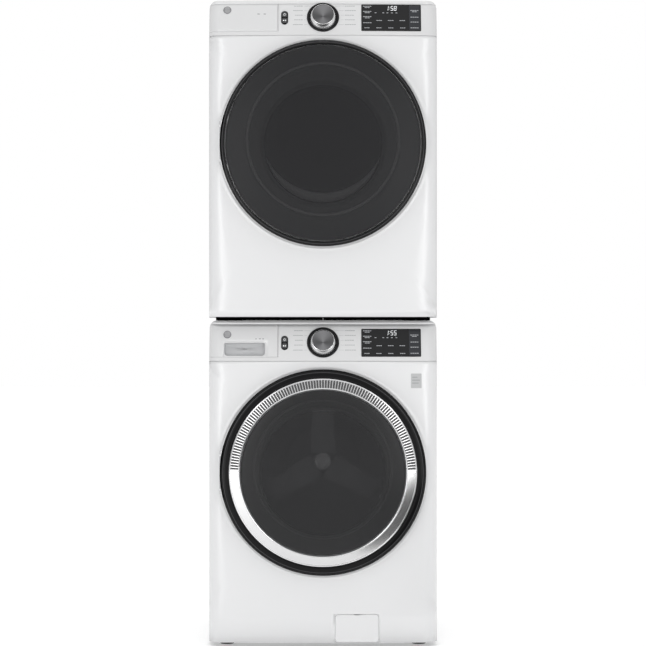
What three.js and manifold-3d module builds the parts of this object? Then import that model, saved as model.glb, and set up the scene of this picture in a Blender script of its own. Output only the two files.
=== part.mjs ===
// A front-loading washer with a matching dryer stacked on top.
// Millimetres, +Z up. X is to the right, the doors face -Y, the origin is on the floor under the middle.
import * as THREE from 'three';
import { mergeVertices } from 'three/addons/utils/BufferGeometryUtils.js';
import Module from 'manifold-3d';

const wasm = await Module();
wasm.setup();

// ---- Driving dimensions ----
const HALF_WIDTH = 355.5;
const FRONT_Y = -356;          // front panel at the middle of its bow
const BOW_DEPTH = 10;          // how far the bow falls back at its ends
const CORNER_X = 315.5;        // centres of the rounded front corners
const CORNER_Y = -306;
const CORNER_RADIUS = 40;
const PANEL_RETURN_Y = -300;   // where the front panel meets the side walls
const CONSOLE_RETURN_Y = -240; // where the console meets the side walls
const REAR_Y = 366;
const REAR_FITTING_Y = 406.5;
const DOOR_FRONT_Y = -406.5;
const CABINET_BOTTOM = 10;
const SEAM_Z = 886;            // foot of the console
const SILL_HEIGHT = 12;        // lip under the console face
const TOP_LIP = 12;            // front edge of the top panel
const TOP_SKIRT = 28;
const TOP_EDGE_RADIUS = 25;
const WASHER_TOP = 1012;
const DRYER_TOP = 1000;
const STACK_GAP = 9;
const DRYER_LIFT = WASHER_TOP + STACK_GAP - CABINET_BOTTOM;
const CONSOLE_LEAN = THREE.MathUtils.degToRad(20);
const SHEET = 2;               // steel sheet
const PLASTIC = 3;             // moulded wall
const GAP = 0.3;               // clearance between pieces that touch

const WASHER_DOOR_Z = 541;
const DRYER_DOOR_Z = 550;
const HINGE_X = -312;
const HINGE_Y = -364;
const HINGE_PIN_RADIUS = 4.5;
const HINGE_LUG_Z = 62;        // height of each lug from the door's middle
const KNUCKLE_HALF = 50;
const NOTCH_HALF = 85;
const BOSS_FLAT_RADIUS = 303;
const BOSS_FRONT_Y = -357;
const WASHER_THROAT = 218;
const DRYER_THROAT = 215;
const KNOB_HEIGHT_ON_FACE = 61;
const SECTION_SEAM_X = -140;
const FINE = 28;               // facets on door rings
const ROUND = 20;              // facets on other round pieces
const SMALL = 10;              // facets on pins and posts
const ARC_STEPS = 2;           // facets on a rounded corner

// ---- Solids: closed meshes, and the cuts and joins between them ----
function closedMesh(geometry) {
  const bare = geometry.clone();
  bare.deleteAttribute('normal');
  bare.deleteAttribute('uv');
  return mergeVertices(bare, 1e-4);
}

function signedVolume(positions, triangles) {
  const [a, b, c] = [new THREE.Vector3(), new THREE.Vector3(), new THREE.Vector3()];
  let total = 0;
  for (let i = 0; i < triangles.length; i += 3) {
    a.fromArray(positions, triangles[i] * 3);
    b.fromArray(positions, triangles[i + 1] * 3);
    c.fromArray(positions, triangles[i + 2] * 3);
    total += a.dot(b.cross(c)) / 6;
  }
  return total;
}

function solid(geometry) {
  const mesh = closedMesh(geometry);
  const vertProperties = Float32Array.from(mesh.attributes.position.array);
  const triVerts = Uint32Array.from(mesh.index.array);
  if (signedVolume(vertProperties, triVerts) < 0) {
    for (let i = 0; i < triVerts.length; i += 3) {
      [triVerts[i], triVerts[i + 1]] = [triVerts[i + 1], triVerts[i]];
    }
  }
  return new wasm.Manifold(new wasm.Mesh({ numProp: 3, vertProperties, triVerts }));
}

function surface(manifold) {
  const mesh = manifold.getMesh();
  const geometry = new THREE.BufferGeometry();
  geometry.setAttribute('position', new THREE.BufferAttribute(Float32Array.from(mesh.vertProperties), 3));
  geometry.setIndex(new THREE.BufferAttribute(Uint32Array.from(mesh.triVerts), 1));
  geometry.computeVertexNormals();
  return geometry;
}

function cut(body, ...tools) {
  return tools.reduce((left, tool) => left.subtract(tool), body);
}

function join(body, ...others) {
  return others.reduce((sum, other) => sum.add(other), body);
}

// ---- Basic shapes, all returned as solids ----
function block(x0, x1, y0, y1, z0, z1) {
  const geometry = new THREE.BoxGeometry(x1 - x0, y1 - y0, z1 - z0);
  geometry.translate((x0 + x1) / 2, (y0 + y1) / 2, (z0 + z1) / 2);
  return solid(geometry);
}

function rodY(radius, y0, y1, x, z, facets = ROUND) {
  const geometry = new THREE.CylinderGeometry(radius, radius, y1 - y0, facets);
  geometry.translate(x, (y0 + y1) / 2, z);
  return solid(geometry);
}

function rodZ(radius, z0, z1, x, y, facets = ROUND) {
  const geometry = new THREE.CylinderGeometry(radius, radius, z1 - z0, facets);
  geometry.rotateX(Math.PI / 2);
  geometry.translate(x, y, (z0 + z1) / 2);
  return solid(geometry);
}

// A ring or disc turned about the Y axis, from its (radius, y) outline.
function turned(outline, z = 0, facets = FINE, x = 0) {
  const points = outline.map(([r, y]) => new THREE.Vector2(r, y));
  if (outline[0][0] > 0) {
    points.push(points[0].clone());
  }
  const geometry = new THREE.LatheGeometry(points, facets);
  geometry.translate(x, 0, z);
  return solid(geometry);
}

function shapeOf(points) {
  return new THREE.Shape(points.map(([a, b]) => new THREE.Vector2(a, b)));
}

function raisedZ(shape, z0, z1) {
  const geometry = new THREE.ExtrudeGeometry(shape, { depth: z1 - z0, bevelEnabled: false, curveSegments: ARC_STEPS });
  geometry.translate(0, 0, z0);
  return geometry;
}

// An (x, z) outline carried along Y.
function raisedY(shape, y0, y1) {
  const geometry = new THREE.ExtrudeGeometry(shape, { depth: y1 - y0, bevelEnabled: false, curveSegments: ARC_STEPS });
  geometry.rotateX(Math.PI / 2);
  geometry.translate(0, y1, 0);
  return solid(geometry);
}

function roundedRect(x0, x1, z0, z1, radius) {
  const shape = new THREE.Shape();
  shape.moveTo(x0 + radius, z0);
  shape.lineTo(x1 - radius, z0);
  shape.absarc(x1 - radius, z0 + radius, radius, -Math.PI / 2, 0);
  shape.lineTo(x1, z1 - radius);
  shape.absarc(x1 - radius, z1 - radius, radius, 0, Math.PI / 2);
  shape.lineTo(x0 + radius, z1);
  shape.absarc(x0 + radius, z1 - radius, radius, Math.PI / 2, Math.PI);
  shape.lineTo(x0, z0 + radius);
  shape.absarc(x0 + radius, z0 + radius, radius, Math.PI, Math.PI * 1.5);
  return shape;
}

// ---- The cabinet's plan: a bowed front, rounded corners and straight sides ----
const bowAt = (x) => FRONT_Y + BOW_DEPTH * (x / CORNER_X) ** 2;

function planPoints(inset, backY) {
  const points = [];
  const bowSteps = 4;
  const cornerSteps = 3;
  for (let i = 0; i <= bowSteps; i += 1) {
    const x = -CORNER_X + (2 * CORNER_X * i) / bowSteps;
    points.push([x, bowAt(x) + inset]);
  }
  for (let i = 1; i <= cornerSteps; i += 1) {
    const angle = (Math.PI / 2) * (i / cornerSteps);
    const radius = CORNER_RADIUS - inset;
    points.push([CORNER_X + radius * Math.sin(angle), CORNER_Y - radius * Math.cos(angle)]);
  }
  const corner = points.slice(-cornerSteps).reverse();
  points.push([HALF_WIDTH - inset, backY]);
  points.push([-HALF_WIDTH + inset, backY]);
  corner.forEach(([x, y]) => points.push([-x, y]));
  return points;
}

const planBody = (inset, backY, z0, z1) => solid(raisedZ(shapeOf(planPoints(inset, backY)), z0, z1));

// The same plan leaned back from the seam upwards.
function leanedBody(inset, backY, z0, z1) {
  const lean = Math.tan(CONSOLE_LEAN);
  const shear = new THREE.Matrix4().set(1, 0, 0, 0, 0, 1, lean, -lean * SEAM_Z, 0, 0, 1, 0, 0, 0, 0, 1);
  const geometry = raisedZ(shapeOf(planPoints(inset, backY)), z0, z1);
  geometry.applyMatrix4(shear);
  return solid(geometry);
}

// The front view of a machine: straight sides and rounded top edges.
function frontOutline(inset, top) {
  const side = HALF_WIDTH - inset;
  const radius = TOP_EDGE_RADIUS - inset;
  const shape = new THREE.Shape();
  shape.moveTo(-side, 0);
  shape.lineTo(side, 0);
  shape.lineTo(side, top - TOP_EDGE_RADIUS);
  shape.absarc(side - radius, top - TOP_EDGE_RADIUS, radius, 0, Math.PI / 2);
  shape.lineTo(-side + radius, top - inset);
  shape.absarc(-side + radius, top - TOP_EDGE_RADIUS, radius, Math.PI / 2, Math.PI);
  return shape;
}

const frontLimit = (inset, top) => raisedY(frontOutline(inset, top), -500, 500);

// ---- Places on the leaned console face ----
// Local X runs along the face, local Y up it and local Z straight out of it, from the middle of the seam.
const FACE_TILT = Math.PI / 2 - CONSOLE_LEAN;

function faceFrame() {
  const frame = new THREE.Group();
  frame.position.set(0, FRONT_Y, SEAM_Z);
  frame.rotation.x = FACE_TILT;
  return frame;
}

function onFace(geometry) {
  const matrix = new THREE.Matrix4().makeRotationX(FACE_TILT);
  matrix.setPosition(0, FRONT_Y, SEAM_Z);
  return solid(geometry.clone().applyMatrix4(matrix));
}

const faceDrop = (x) => -BOW_DEPTH * (x / CORNER_X) ** 2 * Math.cos(CONSOLE_LEAN);

// ---- Meshes ----
function finish(color, roughness, metalness) {
  return new THREE.MeshStandardMaterial({ color, roughness, metalness });
}

const whiteEnamel = () => finish(0xeeeff1, 0.3, 0.1);
const whitePlastic = () => finish(0xe9eaec, 0.35, 0);
const blackGloss = () => finish(0x111214, 0.12, 0);
const blackPlastic = () => finish(0x1c1d1f, 0.5, 0);
const silverTrim = () => finish(0xbfc1c4, 0.25, 0.9);
const brushedDark = () => finish(0x77797d, 0.4, 0.9);
const tintedGlass = () => finish(0x3a3b3f, 0.08, 0);
const clearGlass = () => finish(0x9fa8ac, 0.05, 0);
const stainless = () => finish(0xb9bcbf, 0.3, 0.95);
const castAluminium = () => finish(0x9d9fa2, 0.55, 0.8);
const greyRubber = () => finish(0x8c8f92, 0.8, 0);
const greyPlastic = () => finish(0xb4b7ba, 0.5, 0);
const blackRubber = () => finish(0x202122, 0.85, 0);
const galvanised = () => finish(0xa4a8aa, 0.5, 0.8);

function place(parent, name, shape, material) {
  const geometry = shape instanceof THREE.BufferGeometry ? shape : surface(shape);
  const mesh = new THREE.Mesh(geometry, material);
  mesh.name = name;
  parent.add(mesh);
  return mesh;
}

// ---- Pieces that both machines have ----
// Side walls and back in one folded sheet, with holes cut through the back.
function cabinet(top, rearHoles) {
  const wallTop = top - TOP_SKIRT - GAP;
  const outer = block(-HALF_WIDTH, HALF_WIDTH, PANEL_RETURN_Y, REAR_Y, CABINET_BOTTOM, wallTop);
  const inner = block(-HALF_WIDTH + SHEET, HALF_WIDTH - SHEET, -400, REAR_Y - SHEET, 0, top);
  const consoleRoom = block(-400, 400, -400, CONSOLE_RETURN_Y, SEAM_Z, top);
  return cut(outer, inner, consoleRoom, ...rearHoles);
}

// A shallow tray with its rim turned up.
function basePan(holes) {
  const side = HALF_WIDTH - SHEET - GAP;
  const bottom = CABINET_BOTTOM + 2;
  const rim = 40;
  const outer = block(-side, side, PANEL_RETURN_Y + 8, REAR_Y - SHEET - GAP, bottom, rim);
  const inner = block(-side + SHEET, side - SHEET, PANEL_RETURN_Y + 10, REAR_Y - 2 * SHEET - GAP, bottom + SHEET, 60);
  return cut(outer, inner, ...holes);
}

// A lid with rounded side edges, a front lip over the console and skirts at the sides and back.
function topPanel(top) {
  const skirtFoot = top - TOP_SKIRT;
  const outer = leanedBody(0, REAR_Y, skirtFoot, top).intersect(frontLimit(0, top));
  const squareBack = block(-400, 400, -400, REAR_Y, skirtFoot, top);
  const inner = leanedBody(SHEET, 300, skirtFoot - 5, top - SHEET).intersect(frontLimit(SHEET, top));
  const innerBack = block(-HALF_WIDTH + SHEET, HALF_WIDTH - SHEET, 0, REAR_Y - SHEET, 0, top - SHEET)
    .intersect(frontLimit(SHEET, top));
  const consoleRoom = block(-400, 400, -400, CONSOLE_RETURN_Y, 0, top - TOP_LIP);
  return cut(outer.intersect(squareBack), inner, innerBack, consoleRoom);
}

// The bowed front sheet with a bevelled boss around the throat and slots for the door hinge and latch.
function frontPanel(doorZ, throat, extraCuts) {
  const bottom = CABINET_BOTTOM + 2;
  const outer = planBody(0, PANEL_RETURN_Y - GAP, bottom, SEAM_Z - 1);
  const inner = planBody(SHEET, 0, 0, 1000);
  const bossHole = rodY(BOSS_FLAT_RADIUS - 3, -400, -300, 0, doorZ, FINE);
  const slope = 0.39;
  const bossEdge = 333;
  const bossBack = BOSS_FRONT_Y + SHEET;
  const edgeY = BOSS_FRONT_Y + slope * (bossEdge - BOSS_FLAT_RADIUS);
  const boss = turned([
    [throat, BOSS_FRONT_Y], [BOSS_FLAT_RADIUS, BOSS_FRONT_Y], [bossEdge, edgeY],
    [bossEdge, edgeY + SHEET + 1], [BOSS_FLAT_RADIUS, bossBack], [throat, bossBack],
  ], doorZ);
  const lugSlot = (side) => {
    const middle = doorZ + side * HINGE_LUG_Z;
    return block(HINGE_X - 8, HINGE_X + 8, -400, -320, middle - 7, middle + 7);
  };
  const latchSlot = block(232, 248, -400, -320, doorZ - 15, doorZ + 15);
  return cut(join(cut(outer, inner, bossHole), boss), lugSlot(-1), lugSlot(1), latchSlot, ...extraCuts);
}

// A hollow leaned console shell: a wall all round with an open back and foot.
function consoleShell(top) {
  const faceTop = top - TOP_LIP - GAP;
  const body = leanedBody(0, 0, SEAM_Z, faceTop).intersect(frontLimit(0, top));
  const back = block(-400, 400, -400, CONSOLE_RETURN_Y - GAP, 0, top);
  const hollow = leanedBody(PLASTIC, 0, SEAM_Z + PLASTIC, faceTop - PLASTIC)
    .intersect(frontLimit(PLASTIC, top));
  return cut(body.intersect(back), hollow);
}

const FACE_SECTION = {
  display: { x0: 119, x1: 305, u0: 14, u1: 106, radius: 4 },
  pill: { x0: -130, x1: -108.5, u0: 36, u1: 82.5 },
};

function displayPrism(grow) {
  const { x0, x1, u0, u1, radius } = FACE_SECTION.display;
  return onFace(raisedZ(roundedRect(x0 - grow, x1 + grow, u0 - grow, u1 + grow, radius), -40, 40));
}

function pillOutline(grow) {
  const { x0, x1, u0, u1 } = FACE_SECTION.pill;
  return roundedRect(x0 - grow, x1 + grow, u0 - grow, u1 + grow, (x1 - x0) / 2 + grow - 0.1);
}

const faceHole = (radius, u) => {
  const geometry = new THREE.CylinderGeometry(radius, radius, 60, SMALL);
  geometry.rotateX(Math.PI / 2);
  geometry.translate(0, u, 0);
  return onFace(geometry);
};

// The fascia to the right of the section seam, and the sill under the whole width.
function consoleFascia(top) {
  const sillTop = SEAM_Z + SILL_HEIGHT;
  const leftSection = block(-400, SECTION_SEAM_X, -500, 0, sillTop, top);
  return cut(
    consoleShell(top),
    leftSection,
    displayPrism(GAP),
    onFace(raisedZ(pillOutline(GAP), -30, 30)),
    faceHole(7, KNOB_HEIGHT_ON_FACE),
  );
}

// The part of the console to the left of the seam, above the sill.
function leftSection(top) {
  const sillTop = SEAM_Z + SILL_HEIGHT + 1;
  const region = block(-400, SECTION_SEAM_X - 1.2, -500, 0, sillTop, top);
  const faceTop = top - TOP_LIP - 1;
  const body = leanedBody(0, 0, SEAM_Z, faceTop).intersect(frontLimit(0, top));
  const back = block(-400, 400, -400, CONSOLE_RETURN_Y - GAP, 0, top);
  const hollow = leanedBody(PLASTIC, 0, sillTop, faceTop - PLASTIC).intersect(frontLimit(PLASTIC, top));
  const hollowRegion = block(-400, SECTION_SEAM_X - 1.2 - PLASTIC, -500, 0, sillTop + PLASTIC, top);
  return cut(body.intersect(back).intersect(region), hollow.intersect(hollowRegion));
}

// A curved window that follows the bow of the face.
function displayWindow(top) {
  const skin = leanedBody(-0.6, 0, SEAM_Z, top);
  const core = leanedBody(2.4, 0, SEAM_Z - 10, top + 10);
  return cut(skin, core).intersect(displayPrism(0)).intersect(block(-400, 400, -500, -250, 0, 1100));
}

function addKnob(machine, prefix) {
  const face = faceFrame();
  machine.add(face);
  const bezel = new THREE.LatheGeometry([
    [6.5, 0.6], [50, 0.6], [48, 3.2], [6.5, 3.2], [6.5, 0.6],
  ].map(([r, y]) => new THREE.Vector2(r, y)), ROUND);
  const knob = new THREE.LatheGeometry([
    [0, -14], [4, -14], [4, 3.6], [39, 3.6], [36.5, 20], [34.5, 22], [0, 22.6],
  ].map(([r, y]) => new THREE.Vector2(r, y)), ROUND);
  [[`${prefix}_knob_bezel`, bezel, blackGloss()], [`${prefix}_knob`, knob, silverTrim()]].forEach(
    ([name, geometry, material]) => {
      geometry.rotateX(Math.PI / 2);
      const mesh = place(face, name, surface(solid(geometry)), material);
      mesh.position.set(0, KNOB_HEIGHT_ON_FACE, 0);
    },
  );
}

// A pill-shaped bezel with two push buttons, one above the other.
function addButtons(machine, prefix) {
  const face = faceFrame();
  machine.add(face);
  const { x0, x1, u0, u1 } = FACE_SECTION.pill;
  const middleX = (x0 + x1) / 2;
  const middleU = (u0 + u1) / 2;
  const drop = faceDrop(middleX);
  const half = 8;
  const buttonOutline = (low, grow) => roundedRect(
    middleX - half - grow, middleX + half + grow, low - grow, low + 17.5 + grow, 5 + grow,
  );
  const lows = { power: middleU + 1.5, start: middleU - 19 };
  const plate = raisedZ(pillOutline(0), drop - 4, drop + 0.6);
  const holes = Object.values(lows).map((low) => solid(raisedZ(buttonOutline(low, 0.5), -30, 30)));
  place(face, `${prefix}_button_bezel`, surface(cut(solid(plate), ...holes)), blackGloss());
  Object.entries(lows).forEach(([name, low]) => {
    const button = solid(raisedZ(buttonOutline(low, 0), drop - 5, drop + 2.4));
    place(face, `${prefix}_${name}_button`, surface(button), blackPlastic());
  });
}

// The fixed half of a door hinge: two lugs on a plate behind the panel, and the pin between them.
function hingeBracket(doorZ) {
  const plateFront = -336;
  const plate = block(HINGE_X - 16, HINGE_X + 20, plateFront, plateFront + 3, doorZ - 82, doorZ + 82);
  const lugs = [-1, 1].map((side) => {
    const middle = doorZ + side * HINGE_LUG_Z;
    const eye = rodZ(8.5, middle - 5.5, middle + 5.5, HINGE_X, HINGE_Y, SMALL);
    return join(eye, block(HINGE_X - 6, HINGE_X + 6, HINGE_Y, plateFront + 1, middle - 5.5, middle + 5.5));
  });
  const pin = rodZ(HINGE_PIN_RADIUS, doorZ - HINGE_LUG_Z, doorZ + HINGE_LUG_Z, HINGE_X, HINGE_Y, SMALL);
  return join(plate, pin, ...lugs);
}

// The door's own knuckle, as an addition to its liner.
function knuckle(doorZ, reach) {
  const low = doorZ - KNUCKLE_HALF;
  const high = doorZ + KNUCKLE_HALF;
  const barrel = rodZ(8.5, low, high, HINGE_X, HINGE_Y, SMALL);
  const arm = block(HINGE_X, reach, HINGE_Y - 8, HINGE_Y - 3.4, low, high);
  const bore = rodZ(HINGE_PIN_RADIUS + 0.5, low - 5, high + 5, HINGE_X, HINGE_Y, SMALL);
  return { solid: join(barrel, arm), bore };
}

const latchStrike = (doorZ) => block(236, 244, -362, -346, doorZ - 12, doorZ + 12);

function doorLiner(outline, doorZ, reach) {
  const hinge = knuckle(doorZ, reach);
  return cut(join(turned(outline, doorZ), hinge.solid, latchStrike(doorZ)), hinge.bore);
}

// Room for the hinge behind the left edge of a door ring.
const ringNotch = (doorZ) => block(-330, -276, -375.5, -340, doorZ - NOTCH_HALF, doorZ + NOTCH_HALF);

// ---- Washer ----
function addWasherDoor(washer) {
  const z = WASHER_DOOR_Z;
  const ring = turned([
    [292, -359], [308, -359], [320, -361], [320, -371], [314, -377], [306, -380.5], [298, -381], [292, -380],
  ], z);
  place(washer, 'washer_door_ring', cut(ring, ringNotch(z)), blackGloss());
  place(washer, 'washer_door_trim', turned([
    [291, -376.5], [291, -380], [259, -388], [259, -384.5],
  ], z), silverTrim());
  place(washer, 'washer_door_lens', turned([
    [0, DOOR_FRONT_Y], [120, -403], [200, -396], [255, -386], [255, -382], [200, -392], [120, -399], [0, -402.5],
  ], z, ROUND), tintedGlass());
  const liner = doorLiner([
    [196, -359], [288, -359], [288, -375], [285, -375], [285, -362], [204, -362], [204, -370], [196, -370],
  ], z, -286);
  place(washer, 'washer_door_liner', liner, greyPlastic());
  place(washer, 'washer_door_bowl', turned([
    [0, -226], [140, -232], [152, -242], [190, -352], [192.4, -368],
    [187, -368], [147, -246], [137, -238], [0, -232],
  ], z, ROUND), clearGlass());
  place(washer, 'washer_door_hinge', hingeBracket(z), blackPlastic());
  place(washer, 'washer_door_lock', block(226, 254, -344, -318, z - 32, z + 32), blackPlastic());
}

function addWasherDrum(washer) {
  const z = WASHER_DOOR_Z;
  place(washer, 'washer_gasket', turned([
    [199, -354.6], [217, -354.6], [206, -346], [206, -326], [214, -312], [206, -298], [214, -279],
    [199, -279], [199, -300], [207, -312], [199, -324],
  ], z, ROUND), greyRubber());
  place(washer, 'washer_tub', turned([
    [203, -278.5], [305, -278.5], [305, 262], [16, 262], [16, 258], [301, 258], [301, -274.5], [203, -274.5],
  ], z, ROUND), whitePlastic());
  const shell = turned([
    [205, -266], [270, -262], [276, -256], [276, 236], [0, 236], [0, 233.5],
    [273.5, 233.5], [273.5, -255], [269, -259.5], [205, -263.5],
  ], z, FINE);
  const baffles = [90, 210, 330].map((degrees) => {
    const angle = THREE.MathUtils.degToRad(degrees);
    const outline = shapeOf([[-26, 274.5], [-9, 214], [9, 214], [26, 274.5]]);
    const geometry = new THREE.ExtrudeGeometry(outline, { depth: 440, bevelEnabled: false });
    geometry.rotateX(Math.PI / 2);
    geometry.translate(0, 220, 0);
    geometry.rotateY(angle);
    geometry.translate(0, 0, z);
    return solid(geometry);
  });
  place(washer, 'washer_drum', join(shell, ...baffles), stainless());
  const arms = [90, 210, 330].map((degrees) => {
    const geometry = new THREE.BoxGeometry(240, 16, 34);
    geometry.translate(120, 247, 0);
    geometry.rotateY(THREE.MathUtils.degToRad(degrees));
    geometry.translate(0, 0, z);
    return solid(geometry);
  });
  const hub = rodY(48, 238, 256, 0, z);
  const shaft = rodY(12, 250, 334, 0, z, SMALL);
  place(washer, 'washer_drum_spider', join(hub, shaft, ...arms), castAluminium());
  place(washer, 'washer_motor_stator', turned([[58, 266], [130, 266], [130, 318], [58, 318]], z), brushedDark());
  place(washer, 'washer_motor_rotor', turned([
    [12.4, 326], [135, 326], [135, 272], [139, 272], [139, 330], [12.4, 330],
  ], z), galvanised());
}

// The left section of the console pulls out with the tray behind it.
const GRIP = { x0: -307, x1: -180, z0: 902, z1: 940 };
const TRAY = { x0: -320, x1: -164, y0: -298, y1: -20, z0: 905, z1: 975 };

function addDetergentDrawer(washer) {
  const pocketBack = -316;
  const cup = raisedY(roundedRect(GRIP.x0 - 3, GRIP.x1 + 3, GRIP.z0 - 2, GRIP.z1 + 3, 12), -348, pocketBack + 3);
  const pocket = raisedY(roundedRect(GRIP.x0, GRIP.x1, GRIP.z0, GRIP.z1, 10), -400, pocketBack);
  const front = leftSection(WASHER_TOP);
  const behindFace = leanedBody(1, 0, SEAM_Z - 5, WASHER_TOP);
  place(washer, 'detergent_drawer_front', cut(join(front, cup.intersect(behindFace)), pocket), whitePlastic());
  const { x0, x1, y0, y1, z0, z1 } = TRAY;
  const divider = (x0 + x1) / 2;
  const wall = 2;
  const tray = cut(
    block(x0, x1, y0, y1, z0, z1),
    block(x0 + wall, divider - wall, y0 + wall, y1 - wall, z0 + wall, z1 + 5),
    block(divider, x1 - wall, y0 + wall, -150, z0 + wall, z1 + 5),
    block(divider, x1 - wall, -148, y1 - wall, z0 + wall, z1 + 5),
  );
  const bridges = [x0 + 10, x1 - 30].map((x) => block(x, x + 20, pocketBack + 3 + GAP, y0 + 1, 920, 936));
  place(washer, 'detergent_drawer_tray', join(tray, ...bridges), greyPlastic());
  const sleeve = cut(
    block(x0 - 6, x1 + 6, -230, y1 + 20, z0 - 5, z1 + 7),
    block(x0 - 3, x1 + 3, -300, y1 + 5, z0 - 2, z1 + 3),
  );
  place(washer, 'dispenser_housing', sleeve, whitePlastic());
}

// The service door at the lower right, with the drain pump's filter cap behind it.
const FILTER = { x0: 38, x1: 173, z0: 14, z1: 100, pivotY: -350, pivotZ: 20, x: 105, z: 74 };

function filterDoorOutline(grow) {
  return roundedRect(FILTER.x0 - grow, FILTER.x1 + grow, FILTER.z0 - grow, FILTER.z1 + grow, 10);
}

function addPump(washer) {
  const skin = cut(planBody(0, 0, 0, 200), planBody(SHEET, 0, -5, 205));
  const door = skin.intersect(raisedY(filterDoorOutline(-0.6), -400, -330));
  const notch = block(91, 115, -400, -330, FILTER.z1 - 6, FILTER.z1 + 5);
  place(washer, 'pump_filter_door', cut(door, notch), whiteEnamel());
  const { x, z } = FILTER;
  const grip = block(x - 4, x + 4, -346, -336, z - 22, z + 22);
  place(washer, 'pump_filter_cap', join(rodY(26, -337, -322, x, z), grip), greyPlastic());
  const pump = join(rodY(32, -321.5, -180, x, z), rodY(26, -185, -120, x, z));
  const outlet = rodZ(14, z, z + 70, x, -220, SMALL);
  place(washer, 'drain_pump', join(pump, outlet), blackPlastic());
}

const FOOT_X = 300;
const FOOT_YS = [-270, 330];

function footPlaces() {
  return FOOT_YS.flatMap((y) => [[-FOOT_X, y], [FOOT_X, y]]);
}

function addFeet(washer) {
  footPlaces().forEach(([x, y], index) => {
    const foot = join(rodZ(22, 0, 7, x, y, SMALL), rodZ(12, 6, 11.5, x, y, SMALL), rodZ(6, 10, 36, x, y, SMALL));
    place(washer, `washer_foot_${index + 1}`, foot, blackRubber());
  });
}

function addInletValve(washer) {
  const body = block(190, 270, 330, REAR_Y - SHEET - GAP, 900, 945);
  const ports = [210, 250].map((x) => rodY(13, 350, 398, x, 922, SMALL));
  const bores = [210, 250].map((x) => rodY(9, 360, 410, x, 922, SMALL));
  place(washer, 'water_inlet_valve', cut(join(body, ...ports), ...bores), greyPlastic());
}

// A short bushed opening in the back for the supply cord.
const cordGland = (x, z) => ({
  bush: rodY(13, REAR_Y - SHEET, REAR_Y + 8, x, z, SMALL),
  hole: rodY(6, REAR_Y - 20, REAR_Y + 20, x, z, SMALL),
});

function buildWasher() {
  const washer = new THREE.Group();
  const gland = cordGland(-280, 880);
  const portHoles = [210, 250].map((x) => rodY(14, 350, 400, x, 922, SMALL));
  const walls = cut(join(cabinet(WASHER_TOP, portHoles), gland.bush), gland.hole);
  place(washer, 'washer_cabinet', walls, whiteEnamel());
  const footHoles = footPlaces().map(([x, y]) => rodZ(7, 0, 60, x, y, SMALL));
  place(washer, 'washer_base', basePan(footHoles), galvanised());
  place(washer, 'washer_top_panel', topPanel(WASHER_TOP), whiteEnamel());
  const filterHole = join(
    raisedY(filterDoorOutline(0.4), -400, -330),
    block(FILTER.x0 - 0.4, FILTER.x1 + 0.4, -400, -330, 0, FILTER.z0 + 20),
  );
  place(washer, 'washer_front_panel', frontPanel(WASHER_DOOR_Z, WASHER_THROAT, [filterHole]), whiteEnamel());
  place(washer, 'washer_console', consoleFascia(WASHER_TOP), whitePlastic());
  place(washer, 'washer_display', displayWindow(WASHER_TOP), blackGloss());
  addKnob(washer, 'washer');
  addButtons(washer, 'washer');
  addDetergentDrawer(washer);
  addWasherDoor(washer);
  addWasherDrum(washer);
  addPump(washer);
  addFeet(washer);
  addInletValve(washer);
  return washer;
}

// ---- Dryer ----
function addDryerDoor(dryer) {
  const z = DRYER_DOOR_Z;
  const ring = turned([
    [305, -359], [310, -359], [320, -361], [320, -371], [315, -377], [309, -381], [305, -382],
  ], z);
  place(dryer, 'dryer_door_ring', cut(ring, ringNotch(z)), blackGloss());
  place(dryer, 'dryer_door_lens', turned([
    [0, DOOR_FRONT_Y], [140, -402.5], [240, -394], [302, -382], [302, -378], [240, -390], [140, -398.5],
    [0, -402.5],
  ], z, ROUND), tintedGlass());
  const liner = doorLiner([
    [0, -300], [178, -302], [187, -310], [197, -357], [202, -359], [303, -359], [303, -375],
    [300, -375], [300, -362], [200, -362], [194, -358], [184, -312], [176, -305], [0, -303],
  ], z, -300);
  place(dryer, 'dryer_door_liner', liner, greyPlastic());
  place(dryer, 'dryer_door_hinge', hingeBracket(z), blackPlastic());
}

const DRUM_RADIUS = 325;
const FILTER_POCKET = { halfX: 116, front: -302, back: -270, low: 206, high: 372 };
const LINT_FILTER = { halfX: 108, front: -296, back: -280, low: 216, high: 366 };

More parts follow.
